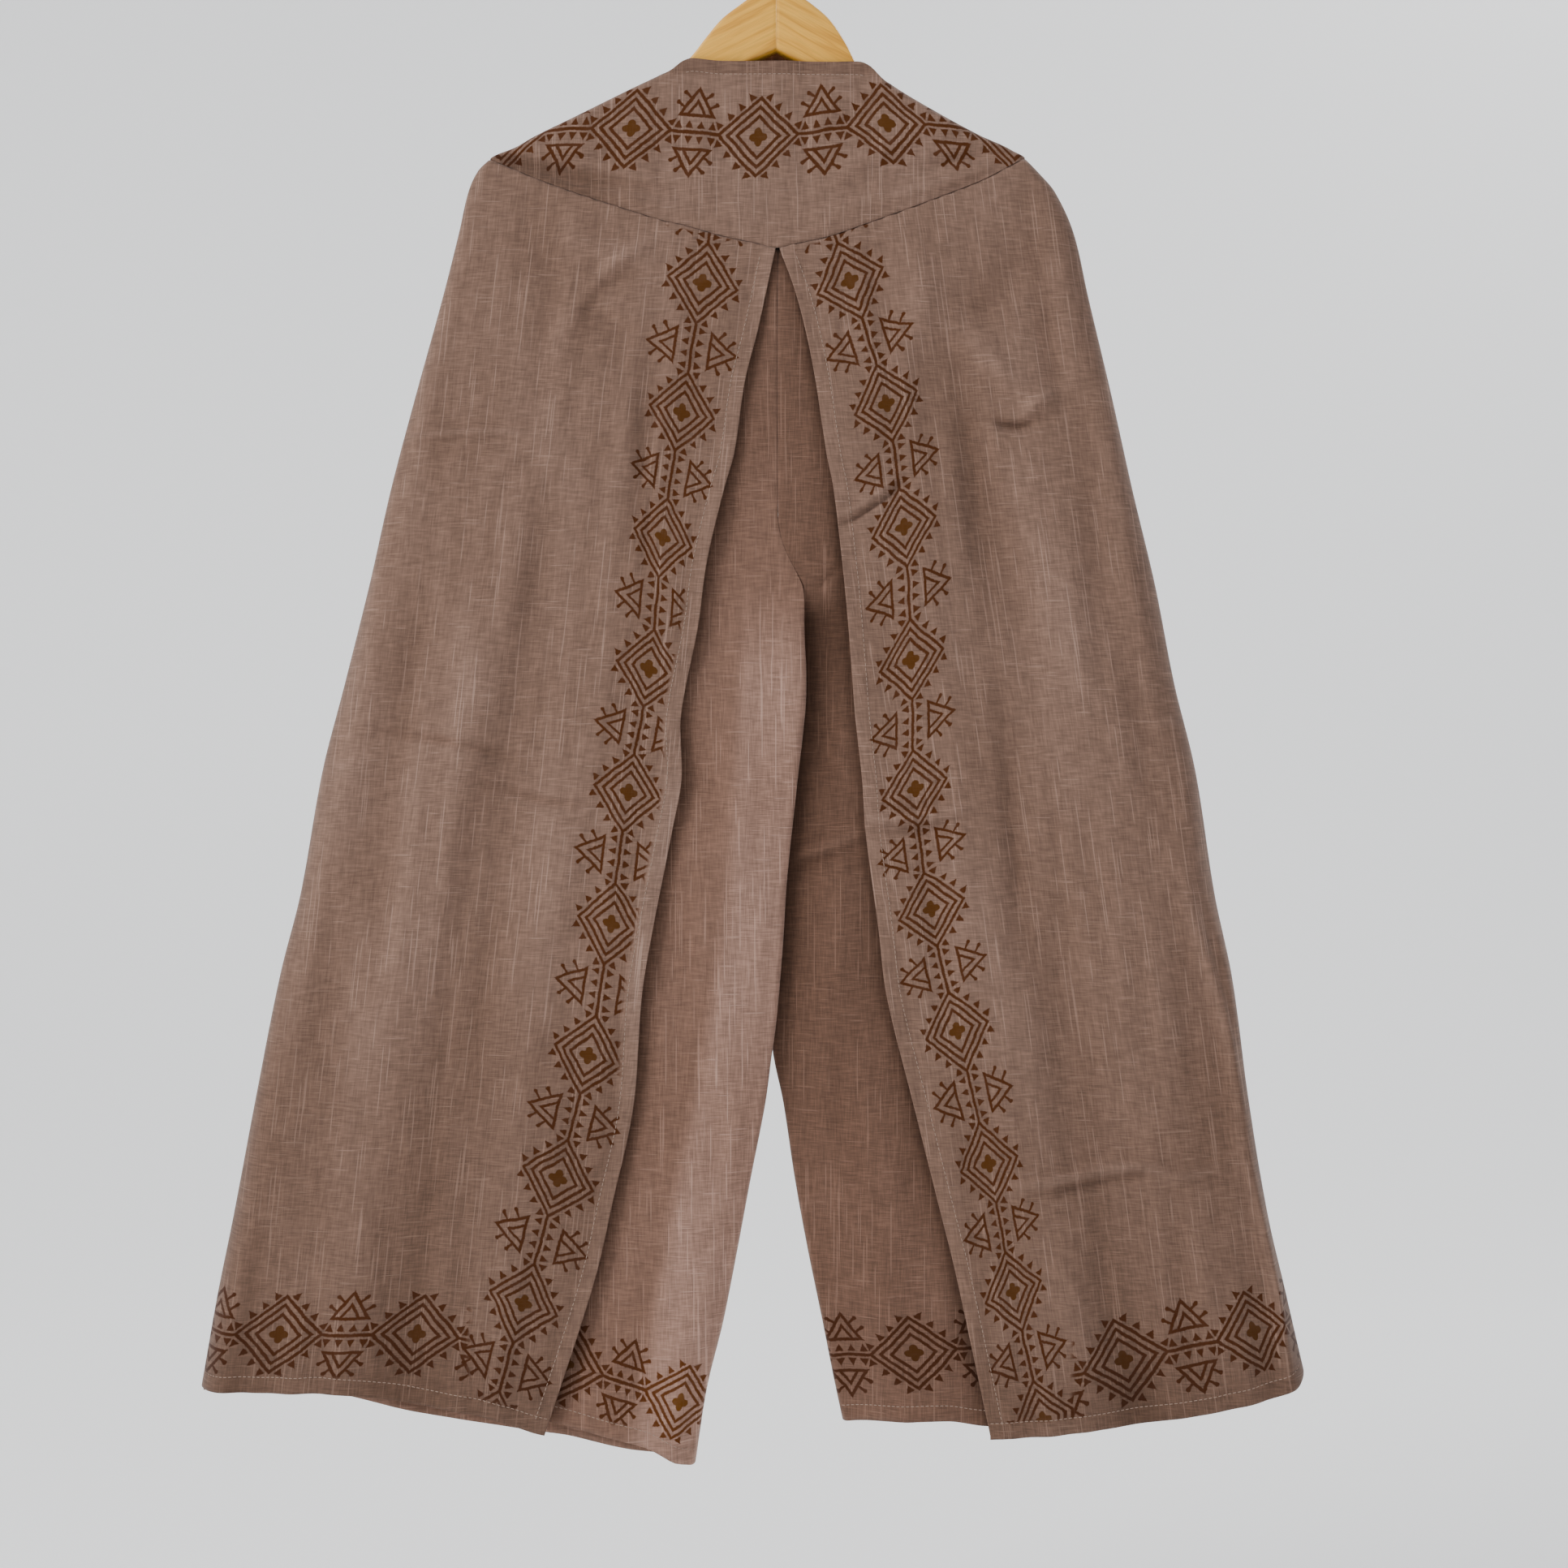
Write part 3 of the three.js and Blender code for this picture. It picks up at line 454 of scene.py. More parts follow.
# Creases of the overlays as the photo shows them, in its pixels: from one end to the other, bowed
# between, as wide and high as given. A ridge stands forward, a trough is negative, and a pinch
# steps from trough to ridge across its line.
OVERLAY_CREASES = [
    # x_from, y_from, x_to, y_to, bow, width, ridge, pinch
    (830, 285, 690, 420, 22, 7, 3.9, 0),
    (700, 395, 800, 330, -14, 9, -2.4, 0),
    (486, 542, 662, 535, -7, 3.2, 2.7, 2.8),
    (500, 560, 640, 548, 5, 8, -1.5, 0),
    (470, 908, 645, 945, -8, 4.2, -2.4, 3.2),
    (610, 972, 728, 998, 4, 4, -2, 3.2),
    (395, 935, 470, 950, 3, 6, 2.2, 0),
    (560, 700, 610, 880, 10, 16, 2.4, 0),
    (640, 560, 600, 760, 12, 14, -2.1, 0),
    (700, 1010, 640, 1240, -8, 16, 2.25, 0),
    (430, 1120, 400, 1330, 6, 18, -2.4, 0),
    (520, 1100, 470, 1400, 10, 22, 3, 0),
    (330, 1380, 420, 1400, 4, 9, 1.35, 0.54),
    (560, 1360, 700, 1310, -6, 10, -1.35, 0),
    (300, 1480, 380, 1500, 3, 8, 1.05, 0),
    (480, 1500, 460, 1690, 4, 14, 2.1, 0),
    (400, 1560, 390, 1700, 4, 12, -1.8, 0),
    (590, 1500, 560, 1700, -5, 13, -1.95, 0),
    (1030, 645, 1110, 590, 5, 3.6, -1.4, -4.6),
    (1222, 520, 1276, 522, 6, 4.2, -6, 3),
    (1262, 512, 1300, 486, -4, 5, 4.5, 0),
    (1200, 500, 1236, 560, -6, 7, 2.1, 0),
    (1058, 1004, 1192, 990, 6, 4.2, 4.1, 4.5),
    (1062, 1024, 1160, 1016, 4, 6, -2.7, 0),
    (1405, 890, 1452, 888, 2, 5, 2, 1.2),
    (1246, 1450, 1360, 1432, 3, 4.5, 4.1, 3.2),
    (1350, 1434, 1440, 1436, -6, 4, 4.5, 2.8),
    (1430, 1440, 1494, 1428, 3, 4, 2.7, 2.3),
    (1256, 1472, 1424, 1442, -5, 5, -2.2, 0),
    (1150, 330, 1260, 470, 14, 16, 2.7, 0),
    (1290, 340, 1350, 560, 16, 14, -2.1, 0),
    (1180, 560, 1230, 800, -10, 18, -2.1, 0),
    (1300, 620, 1380, 930, 12, 20, 2.4, 0),
    (1230, 900, 1290, 1250, 10, 20, -2.4, 0),
    (1350, 1080, 1400, 1380, 10, 18, 2.4, 0),
    (1457, 1090, 1533, 1411, -10, 6, 3.2, 3.7),
    (1533, 1411, 1589, 1695, -4, 6, 3.6, 4.1),
    (1300, 1500, 1330, 1700, 6, 16, 2.4, 0),
    (1440, 1500, 1480, 1700, 6, 14, -2.1, 0),
    (503, 690, 400, 1190, 4, 17, 4, 0),
    (562, 540, 452, 1120, -6, 13, -2.2, 0),
    (618, 680, 540, 1200, 6, 16, 3.4, 0),
    (690, 560, 640, 900, 6, 12, -1.8, 0),
    (818, 530, 792, 690, 5, 3.4, 0.9, 2.7),
    (1270, 850, 1310, 1120, 5, 14, 2.4, 0),
    (1200, 420, 1240, 700, 14, 18, -2.8, 0),
    (1150, 380, 1215, 420, 6, 14, 2.2, 0),
    (1370, 420, 1400, 720, 6, 14, 2.2, 0),
    (1330, 700, 1390, 1080, 8, 13, -2.4, 0),
    (1440, 860, 1475, 1100, -4, 10, 2, 0),
    (640, 262, 790, 470, -10, 18, -3.2, 0),
    (800, 450, 797, 760, 4, 8, -3, 0),
    (700, 296, 840, 326, 6, 10, 3, 0),
    (715, 356, 805, 396, 4, 8, 2, 0),
    (640, 470, 760, 640, 10, 22, 3, 0),
    (1296, 280, 1166, 455, 6, 22, -3.8, 0),
    (1152, 325, 1124, 440, 4, 14, 3.6, 0),
    (1206, 436, 1268, 486, 0, 8, 3.2, 0),
    (1165, 462, 1232, 720, -6, 20, -2.6, 0),
    (1246, 990, 1260, 1130, 2, 7, -2.4, 0),
    (1478, 1080, 1522, 1250, -4, 7, 3.2, 0),
    (1290, 640, 1330, 900, 6, 18, 3, 0),
]


def bell(distance, spread):
    """1 at no distance, and off to nothing as a bell curve of that spread."""
    return np.exp(-0.5 * (distance / spread) ** 2)


def crease_height(creases, across, drop):
    """Height of listed creases: over each line a bell across it, faded in and out along it,
    plus for a pinch the bell's own slope, which is low on one side and high on the other."""
    height = np.zeros(np.broadcast(across, drop).shape)
    for x_from, y_from, x_to, y_to, bow, width, ridge, pinch in creases:
        start_x, start_z = photo(x_from, y_from)
        end_x, end_z = photo(x_to, y_to)
        long = math.hypot(end_x - start_x, end_z - start_z)
        along_x, along_z = (end_x - start_x) / long, (end_z - start_z) / long
        share = ((across - start_x) * along_x + (drop - start_z) * along_z) / long
        beside = (across - start_x) * -along_z + (drop - start_z) * along_x
        inside = np.clip(share, 0, 1)
        beside = beside - bow * PIXEL * 4 * inside * (1 - inside)
        past = np.maximum(np.abs(share - 0.5) - 0.5, 0) * long
        spread = width * PIXEL * (1 + 0.7 * (2 * inside - 1) ** 2)
        fade = bell(past, 2.5 * spread) * (0.35 + 0.65 * np.sin(math.pi * inside))
        height += fade * bell(beside, spread) * (ridge + pinch * beside / spread)
    return height


def ripples(rows, across, drop):
    """Uneven small waves: for each row ten plane waves of about its length with fixed random
    directions. Drawn above 1 stretches them along the drop."""
    height = np.zeros(np.broadcast(across, drop).shape)
    for seed, length, high, drawn in rows:
        draw = np.random.default_rng(seed)
        for _ in range(10):
            angle = draw.uniform(0, math.pi)
            step = 2 * math.pi / (length * draw.uniform(0.7, 1.6))
            phase = draw.uniform(0, 2 * math.pi)
            wave = np.sin(step * (math.cos(angle) * across + math.sin(angle) * drop / drawn) + phase)
            height += high / math.sqrt(5) * wave
    return height


def puckered(place, beside, high, step, drift, reach):
    """Small waves along a seam, whose length drifts, and which fade out beside it."""
    return high * np.sin(place / step + 2 * np.sin(place / drift)) * np.exp(-beside / reach)


def fold_height(folds, across, drop):
    """Soft hanging folds: bells across the panel whose middles drift outwards down the panel."""
    height = np.zeros(np.broadcast(across, drop).shape)
    for at_waist, at_hem, width, high, starts in folds:
        centre = at_waist + (at_hem - at_waist) * drop / FOLD_LENGTH
        height += high * smoothstep(drop, starts, starts + FOLD_GROWTH) * bell(across - centre, width)
    return height


def overlay_y(across, drop):
    """The overlays' outer face: the body's depth and the hanging folds, towards the front."""
    return -(body("front", drop) + fold_height(FRONT_FOLDS, across, drop))


def hem_relief(above):
    """The turned-up hem stands a little proud, with a pressed line at its stitches."""
    proud = 0.35 * (1 - smoothstep(above, HEM_DEEP - 1, HEM_DEEP + 2.5))
    return proud - 0.45 * bell(above - HEM_DEEP, 1.1)


def crossing(line, across_at, start):
    """The drop at which each column crosses a line, by stepping most of the way to it again."""
    drop = start
    for _ in range(12):
        drop = drop + 0.8 * (line(across_at(drop)) - drop)
    return drop


def turned_in(drop):
    """0 above the crotch, where an inner edge is a flat seam, and 1 below it, where it turns back."""
    return smoothstep(drop, CROTCH - 4, CROTCH + 30)


def panel_points(u, v, shape):
    """A panel over u, from its inner or free edge to the side seam, and v, from top to hem. Its
    face is flat or folded, then rolls round to the side seam in a quarter ellipse. Returns the
    points, and each point's distance from the top seam, the hem and the inner edge."""
    side = shape["side"]
    outwards = ARMS[side]["outwards"]
    turn = shape.get("turn", 0)
    flat_start = INNER_TURN if turn else 0
    u = u[:, None]
    v = v[None, :]
    angle = np.clip((u - FLAT_END) / (1 - FLAT_END), 0, 1) * math.pi / 2

    def corner(drop):
        """Where the flat face ends and the roll to the side seam starts."""
        side_x = body(f"{side}_side", drop) - outwards * shape["inset"](drop)
        return side_x - outwards * body(f"{side}_roll", drop)

    def across_at(drop):
        """How far across each column lies at that drop."""
        edge = shape["edge"](drop)
        start = edge + outwards * turn
        flat = start + (corner(drop) - start) * (u - flat_start) / (FLAT_END - flat_start)
        rolled = corner(drop) + outwards * body(f"{side}_roll", drop) * np.sin(angle)
        across = np.where(u <= FLAT_END, flat, rolled)
        if turn:
            near = np.clip(u / flat_start, 0, 1)
            share = near + (1 - np.cos(near * math.pi / 2) - near) * turned_in(drop)
            across = np.where(u < flat_start, edge + (start - edge) * share, across)
        return across

    top = crossing(lambda across: yoke("seam", across), across_at, np.full_like(u, 100.0)) + SEAM_TOUCH
    bottom = crossing(shape["hem"], across_at, np.full_like(u, 1000.0))
    upper = top + (LEVEL - top) * v / LEVEL_SHARE
    lower = LEVEL + (bottom - LEVEL) * (v - LEVEL_SHARE) / (1 - LEVEL_SHARE)
    drop = np.where(v < LEVEL_SHARE, upper, lower)
    across = across_at(drop)
    y = shape["face_y"](across, drop)
    if turn:
        near = np.clip(u / flat_start, 0, 1) * math.pi / 2
        face = shape["face_y"](shape["edge"](drop) + outwards * turn, drop)
        seam = shape["seam_y"](drop)
        rolled = seam + (face - seam) * np.sin(near)
        y = np.where(u < flat_start, y + (rolled - y) * turned_in(drop), y)
    side_y = body("side_seam", drop) + shape["side_gap"]
    at_corner = shape["face_y"](corner(drop), drop)
    y = np.where(u > FLAT_END, side_y + (at_corner - side_y) * np.cos(angle), y)
    inward = np.abs(across - shape["edge"](drop))
    relief = shape["relief"](across, drop, drop - top, bottom - drop, inward) * np.cos(angle)
    y = y + shape["faces"] * relief
    return np.stack([across, y, WAIST_Z - drop], -1), drop - top, bottom - drop, inward


def shares(fine_edge, flat_steps, roll_steps):
    """Column shares: a few close ones at the inner edge, even ones over the flat face, and more in
    the roll to the side seam."""
    close = np.array(fine_edge)
    flat = np.linspace(close[-1], FLAT_END, flat_steps + 1)[1:]
    rolled = np.linspace(FLAT_END, 1, roll_steps + 1)[1:]
    return np.concatenate([close, flat, rolled])


def line_down(points, inward, distance):
    """The line down a panel at that distance from its inner edge, one point a row."""
    i = np.clip((inward < distance).sum(0) - 1, 0, inward.shape[0] - 2)
    j = np.arange(inward.shape[1])
    share = np.clip((distance - inward[i, j]) / (inward[i + 1, j] - inward[i, j]), 0, 1)[:, None]
    return points[i, j] + (points[i + 1, j] - points[i, j]) * share


def line_across(points, above, distance):
    """The line across a panel at that distance above its hem, one point a column."""
    j = np.clip((above > distance).sum(1) - 1, 0, above.shape[1] - 2)
    i = np.arange(above.shape[0])
    share = np.clip((above[i, j] - distance) / (above[i, j] - above[i, j + 1]), 0, 1)[:, None]
    return points[i, j] + (points[i, j + 1] - points[i, j]) * share


STITCH_STEP = 3.6
STITCH_LONG = 2.5
STITCH_HALF = 0.3
STITCH_RINGS = 5
STITCH_SIDES = 6
STITCH_START = 2
STITCH_TAPER = 0.94


def stitches(name, lines):
    """Running stitches along the lines: each a short capsule of thread that tapers into the cloth,
    its radius the root of one less the fourth power of its place, all in one mesh."""
    share = np.linspace(0, 1, STITCH_RINGS)
    swell = np.sqrt(1 - (STITCH_TAPER * (2 * share - 1)) ** 4)
    angle = np.linspace(0, 2 * math.pi, STITCH_SIDES, endpoint=False)
    parts = []
    for line in lines:
        gone = np.concatenate([[0], np.cumsum(np.linalg.norm(np.diff(line, axis=0), axis=1))])
        starts = np.arange(STITCH_START, gone[-1] - STITCH_STEP, STITCH_STEP)
        at = starts[:, None] + STITCH_LONG * share
        middle = np.stack([np.interp(at, gone, line[:, k]) for k in range(3)], -1)
        along = middle[:, -1] - middle[:, 0]
        along /= np.linalg.norm(along, axis=1, keepdims=True)
        out = np.broadcast_to([0.0, 1.0, 0.0], along.shape)
        beside = np.cross(along, out)
        round_it = np.cos(angle)[:, None, None] * beside + np.sin(angle)[:, None, None] * out
        parts.append(middle[None] + STITCH_HALF * swell[:, None] * round_it[:, :, None, :])
    points = np.concatenate(parts, axis=1)
    sides, count, rings, _ = points.shape
    index = np.arange(sides * count * rings).reshape(sides, count, rings)
    turned = np.roll(index, -1, axis=0)
    quads = np.stack([index[..., :-1], turned[..., :-1], turned[..., 1:], index[..., 1:]], -1)
    piece = new_piece(name, points, quads.reshape(-1, 4).tolist())
    piece.data.materials.append(thread)
    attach(piece, "root")
    return piece


thread, _, thread_shader = new_material("pale_thread", Roughness=0.75)
thread_shader.inputs["Base Color"].default_value = (0.36, 0.25, 0.19, 1)


def dress(piece, material):
    """Gives a cloth piece its finish and its thickness, inwards from its outer face."""
    piece.data.materials.append(material)
    wall = piece.modifiers.new("thickness", "SOLIDIFY")
    wall.thickness = CLOTH_THICK * MM
    wall.offset = -1
    wall.use_even_offset = False


def point_value(piece, name, values):
    """Stores a number on each point of the piece, for its material."""
    layer = piece.data.attributes.new(name, "FLOAT", "POINT")
    layer.data.foreach_set("value", np.ascontiguousarray(values, dtype=np.float32).ravel())


def uv_map(piece, name, first, second):
    """Stores two coordinates on the piece as a UV map, taken from its points."""
    loops = np.empty(len(piece.data.loops), dtype=np.int32)
    piece.data.loops.foreach_get("vertex_index", loops)
    pair = np.stack([np.ravel(first), np.ravel(second)], -1)[loops].astype(np.float32)
    piece.data.uv_layers.new(name=name).data.foreach_set("uv", pair.ravel())


# The block print of the cotton: a chain of nested diamonds, each 95 mm from the next, joined by
# bars with a rayed triangle on each side and rows of small dots, in rust brown pigment.
REPEAT = 95
RING_PLACES = (0.97, 0.745, 0.51)
LINE_HALF = 1.04
PETAL_AT = 4.4
PETAL_HALF = 2.7
PETAL_NARROW = 0.2
BAR_HALF = 1.1
DOT_BASE = 2.2
BAR_DOT_BASE = 2.9
DOT_HALF = 2.9
DOT_HIGH = 5.6
BAR_DOT_STEP = 8.6
TRIANGLE_BASE = 12.6
TRIANGLE_HALF = 12.6
TRIANGLE_HIGH = 19.8
INNER_HALF = 6.6
INNER_HIGH = 10.6
STAMP_SHAKE = 3.2
STAMP_ROUGH = 1.4
INK_EDGE = 0.3
RAY_HALF = 0.8
RAY_KNOB = 0.7
RAYS = [
    # start_x, start_y, tip_x, tip_y, from the triangle's base middle
    (9.0, 5.4, 14.6, 9.2),
    (4.6, 12.2, 9.8, 16.6),
]


def maths(tree, *operations):
    """A function for each Math operation, which adds its node to that tree."""
    return [lambda *values, kind=kind: calc(tree, kind, *values) for kind in operations]


def print_group():
    """Ink of the print at a place (along, across) in millimetres from a diamond's centre, where the
    diamond reaches half_long along the chain and half_wide across it. Each mark is a signed
    distance in millimetres, the least of them is the nearest mark, and the ink fades over its edge.
    Heavy ink spreads each mark by that much."""
    tree = bpy.data.node_groups.new("block print", "ShaderNodeTree")
    for name in ("along", "across", "half_long", "half_wide", "heavy"):
        tree.interface.new_socket(name, in_out="INPUT", socket_type="NodeSocketFloat")
    for name in ("ink", "star"):
        tree.interface.new_socket(name, in_out="OUTPUT", socket_type="NodeSocketFloat")
    add, less, times, part = maths(tree, "ADD", "SUBTRACT", "MULTIPLY", "DIVIDE")
    line, lower, higher = maths(tree, "MULTIPLY_ADD", "MINIMUM", "MAXIMUM")
    size, root = maths(tree, "ABSOLUTE", "SQRT")
    given = node(tree, "NodeGroupInput").outputs
    seat = node(tree, "ShaderNodeCombineXYZ", {"X": given["along"], "Y": given["across"]}).outputs[0]
    wobble = node(tree, "ShaderNodeTexNoise", {"Vector": seat, "Scale": 0.055, "Detail": 2})
    shake = node(tree, "ShaderNodeSeparateColor", {"Color": wobble.outputs["Color"]}).outputs
    along = add(given["along"], line(shake[0], STAMP_SHAKE, -STAMP_SHAKE / 2))
    across = add(given["across"], line(shake[1], STAMP_SHAKE, -STAMP_SHAKE / 2))
    p = size(calc(tree, "WRAP", along, REPEAT / 2, -REPEAT / 2))
    q = size(across)
    a, b = given["half_long"], given["half_wide"]
    side = root(add(times(a, a), times(b, b)))
    high = part(times(a, b), side)
    reach = add(part(p, a), part(q, b))
    rings = [size(less(reach, place)) for place in RING_PLACES]
    nearest = lower(lower(rings[0], rings[1]), rings[2])
    marks = [less(times(nearest, high), LINE_HALF)]
    beyond = higher(less(higher(p, q), PETAL_AT), 0)
    beside = lower(p, q)
    from_petal = add(times(beyond, beyond), times(beside, beside))
    narrowed = line(higher(p, q), PETAL_NARROW, -PETAL_HALF - PETAL_NARROW * PETAL_AT)
    star = add(root(from_petal), narrowed)
    marks.append(star)
    past_tip = less(times(a, RING_PLACES[0]), p)
    marks.append(higher(less(q, BAR_HALF), past_tip))

    def dot(beside, out):
        """A small triangle with its base towards the line: as wide as is left of its height."""
        narrow = line(out, -DOT_HALF / DOT_HIGH, DOT_HALF)
        sides = less(beside, narrow)
        return calc(tree, "SMOOTH_MAX", sides, times(out, -1), 1.6)

    out = less(times(less(reach, 1), high), DOT_BASE)
    run = times(less(a, p), a)
    run = part(add(run, times(q, b)), side)
    quarter = part(side, 4)
    cell = less(calc(tree, "FRACT", part(run, quarter)), 0.5)
    beside = times(size(cell), quarter)
    outside = higher(times(run, -1), less(run, side))
    marks.append(higher(dot(beside, out), outside))

    middle = less(REPEAT / 2, p)
    beside = size(less(middle, BAR_DOT_STEP))
    beside = size(less(beside, BAR_DOT_STEP / 2))
    out = less(q, BAR_DOT_BASE)
    marks.append(higher(dot(beside, out), less(middle, 2 * BAR_DOT_STEP)))

    up = less(q, TRIANGLE_BASE)

    def slant(half, high):
        """Signed distance to a triangle's slanted side, and below its base."""
        long = math.hypot(half, high)
        over = line(middle, high / long, -half * high / long)
        over = line(up, half / long, over)
        return higher(over, times(up, -1))

    marks.append(less(size(slant(TRIANGLE_HALF, TRIANGLE_HIGH)), LINE_HALF))
    marks.append(less(size(slant(INNER_HALF, INNER_HIGH)), 0.9 * LINE_HALF))
    for start_x, start_y, tip_x, tip_y in RAYS:
        long = math.hypot(tip_x - start_x, tip_y - start_y)
        to_x, to_y = (tip_x - start_x) / long, (tip_y - start_y) / long
        from_x = less(middle, start_x)
        from_y = less(up, start_y)
        gone = line(from_x, to_x, times(from_y, to_y))
        gone = lower(higher(gone, 0), long)
        off_x = line(gone, -to_x, from_x)
        off_y = line(gone, -to_y, from_y)
        squared = add(times(off_x, off_x), times(off_y, off_y))
        swell = line(calc(tree, "POWER", part(gone, long), 4), RAY_KNOB, RAY_HALF)
        marks.append(less(root(squared), swell))
    least = marks[0]
    for mark in marks[1:]:
        least = lower(least, mark)
    least = add(least, line(noise(tree, seat, 0.5, 3), STAMP_ROUGH, -STAMP_ROUGH / 2))
    least = less(least, given["heavy"])
    returned = node(tree, "NodeGroupOutput").inputs
    for name, distance in (("ink", least), ("star", star)):
        ends = {0: distance, 1: INK_EDGE, 2: -INK_EDGE, 3: 0.0, 4: 1.0}
        tree.links.new(node(tree, "ShaderNodeMapRange", ends).outputs[0], returned[name])
    return tree


block_print = print_group()
INK = (0.068, 0.0168, 0.0005)
STAR_INK = (0.085, 0.027, 0.0006)


WARP_COUNT = 1300
WEFT_COUNT = 1350
WARP_RUN = 50
WEFT_RUN = 60
WARP_SLUB_RUN = 9
WEFT_SLUB_RUN = 22
YARN_STARTS = 400
WARP_SLUBS = [(0.66, 0.0), (0.72, 1.0)]
WEFT_SLUBS = [(0.7, 0.0), (0.78, 0.75)]
SLUB_PALE = 0.4
YARN_TONES = [(0.32, 0.72), (0.5, 0.97), (0.68, 1.27)]
STREAK_TONES = [(0.3, 0.93), (0.7, 1.07)]
CLOUD_TONES = [(0.3, (0.92, 0.905, 0.885)), (0.7, (1.07, 1.08, 1.09))]
# Painted shade tint: powers per channel that make painted shade browner.
SHADE_TINT_POWERS = {"Red": 1.0, "Green": 1.12, "Blue": 1.25}


def cotton_material(name, base, bands=()):
    """Plain woven slub cotton: brown yarn-dyed cloth with pale slubs along both threads, a fine
    weave and soft mottling, the print's bands over it, and the painted light and shade of the shade
    point value, browner where it is darker. A band is a UV map of places along and across its chain,
    its diamonds' half sizes, how heavy its ink is, and the point value that says where it is printed."""
    material, tree, shader = new_material(name, Roughness=0.9, Sheen_Weight=0.12, Sheen_Roughness=0.45)
    shader.inputs["Specular IOR Level"].default_value = 0.18
    times, line, higher = maths(tree, "MULTIPLY", "MULTIPLY_ADD", "MAXIMUM")
    cloth = node(tree, "ShaderNodeUVMap", uv_map="cloth").outputs[0]
    place = node(tree, "ShaderNodeSeparateXYZ", {0: cloth}).outputs

    def yarn(beside, along, count, length):
        """Thickness of the yarns that lie side by side: each has noise of its own along its length,
        started at a random place that depends on the yarn's whole number."""
        number = calc(tree, "FLOOR", times(beside, count))
        start = node(tree, "ShaderNodeTexWhiteNoise", {"W": number}, noise_dimensions="1D")
        run = line(start.outputs["Value"], YARN_STARTS, times(along, length))
        thick = node(tree, "ShaderNodeTexNoise", {"W": run, "Scale": 1, "Detail": 2}, noise_dimensions="1D")
        return thick.outputs["Fac"]

    def soft(scale, detail):
        """Soft noise over the cloth, stretched by that scale."""
        return noise(tree, stretched(tree, cloth, scale), 1, detail)

    warp = yarn(place["X"], place["Y"], WARP_COUNT, WARP_RUN)
    weft = yarn(place["Y"], place["X"], WEFT_COUNT, WEFT_RUN)
    grain = line(warp, 0.45, times(weft, 0.55))
    warp_slub = ramp(tree, yarn(place["X"], place["Y"], WARP_COUNT, WARP_SLUB_RUN), WARP_SLUBS)
    weft_slub = ramp(tree, yarn(place["Y"], place["X"], WEFT_COUNT, WEFT_SLUB_RUN), WEFT_SLUBS)
    slub = higher(warp_slub, weft_slub)
    streaks = ramp(tree, soft((160, 7, 1), 2), STREAK_TONES)
    clouds = ramp(tree, soft((9, 6, 1), 3), CLOUD_TONES)
    colour = (*base, 1)
    for layer in (ramp(tree, grain, YARN_TONES), streaks, clouds):
        colour = blend(tree, 1, colour, layer, "MULTIPLY")
    pale = tuple(min(1, 1.9 * channel + 0.05) for channel in base)
    colour = blend(tree, times(slub, SLUB_PALE), colour, (*pale, 1))
    for band in bands:
        chain = node(tree, "ShaderNodeUVMap", uv_map=band["map"]).outputs[0]
        chain = node(tree, "ShaderNodeSeparateXYZ", {0: chain}).outputs
        stamp = {"along": times(chain["X"], REPEAT), "across": times(chain["Y"], REPEAT)}
        stamp |= {name: band[name] for name in ("half_long", "half_wide", "heavy")}
        marks = node(tree, "ShaderNodeGroup", stamp, node_tree=block_print).outputs
        printed = node(tree, "ShaderNodeAttribute", attribute_name=band["printed"]).outputs["Fac"]
        cover = ramp(tree, soft((95, 95, 1), 4), [(0.28, 0.92), (0.5, 1.0)])
        weaved = ramp(tree, grain, [(0.34, 0.93), (0.54, 1.0)])
        ink = times(times(times(marks["ink"], printed), cover), weaved)
        colour = blend(tree, ink, colour, blend(tree, marks["star"], (*INK, 1), (*STAR_INK, 1)))
    # Painted light and shade: the shade value multiplies the colour, browner where it is darker.
    depth = node(tree, "ShaderNodeAttribute", attribute_name="shade").outputs["Fac"]
    painted_shade_tint = {channel: calc(tree, "POWER", depth, power) for channel, power in SHADE_TINT_POWERS.items()}
    shade = node(tree, "ShaderNodeCombineColor", painted_shade_tint).outputs[0]
    tree.links.new(blend(tree, 1, colour, shade, "MULTIPLY"), shader.inputs["Base Color"])
    bump(tree, shader, line(slub, 0.5, grain), 0.25, 0.0005)
    return material


# Where the print was stamped down the two overlay edges and along the hems, in the photo: a
# diamond's centre, how the block's cross axis slopes there, and how wide the block printed.
CHAINS = {
    "left": [
        # x, y, slope, width
        (890, 188, 0.19, 1.07),
        (865, 348, 0.2, 1.07),
        (840, 508, 0.24, 1.0),
        (817, 663, 0.32, 0.9),
        (801, 825, 0.26, 1.0),
        (775, 976, 0.22, 1.0),
        (755, 1137, 0.25, 1.02),
        (727, 1297, 0.32, 1.05),
        (691, 1447, 0.386, 1.09),
        (649, 1598, 0.41, 1.06),
        (608, 1751, 0.42, 1.06),
    ],
    "right": [
        (1000, 193, -0.42, 1.07),
        (1047, 345, -0.42, 1.07),
        (1092, 497, -0.39, 1.01),
        (1113, 650, -0.36, 1.0),
        (1122, 814, -0.375, 1.0),
        (1126, 972, -0.35, 1.0),
        (1146, 1119, -0.35, 1.02),
        (1177, 1267, -0.33, 0.96),
        (1216, 1429, -0.3, 0.86),
        (1245, 1584, -0.42, 0.88),
        (1281, 1740, -0.4, 0.95),
    ],
}
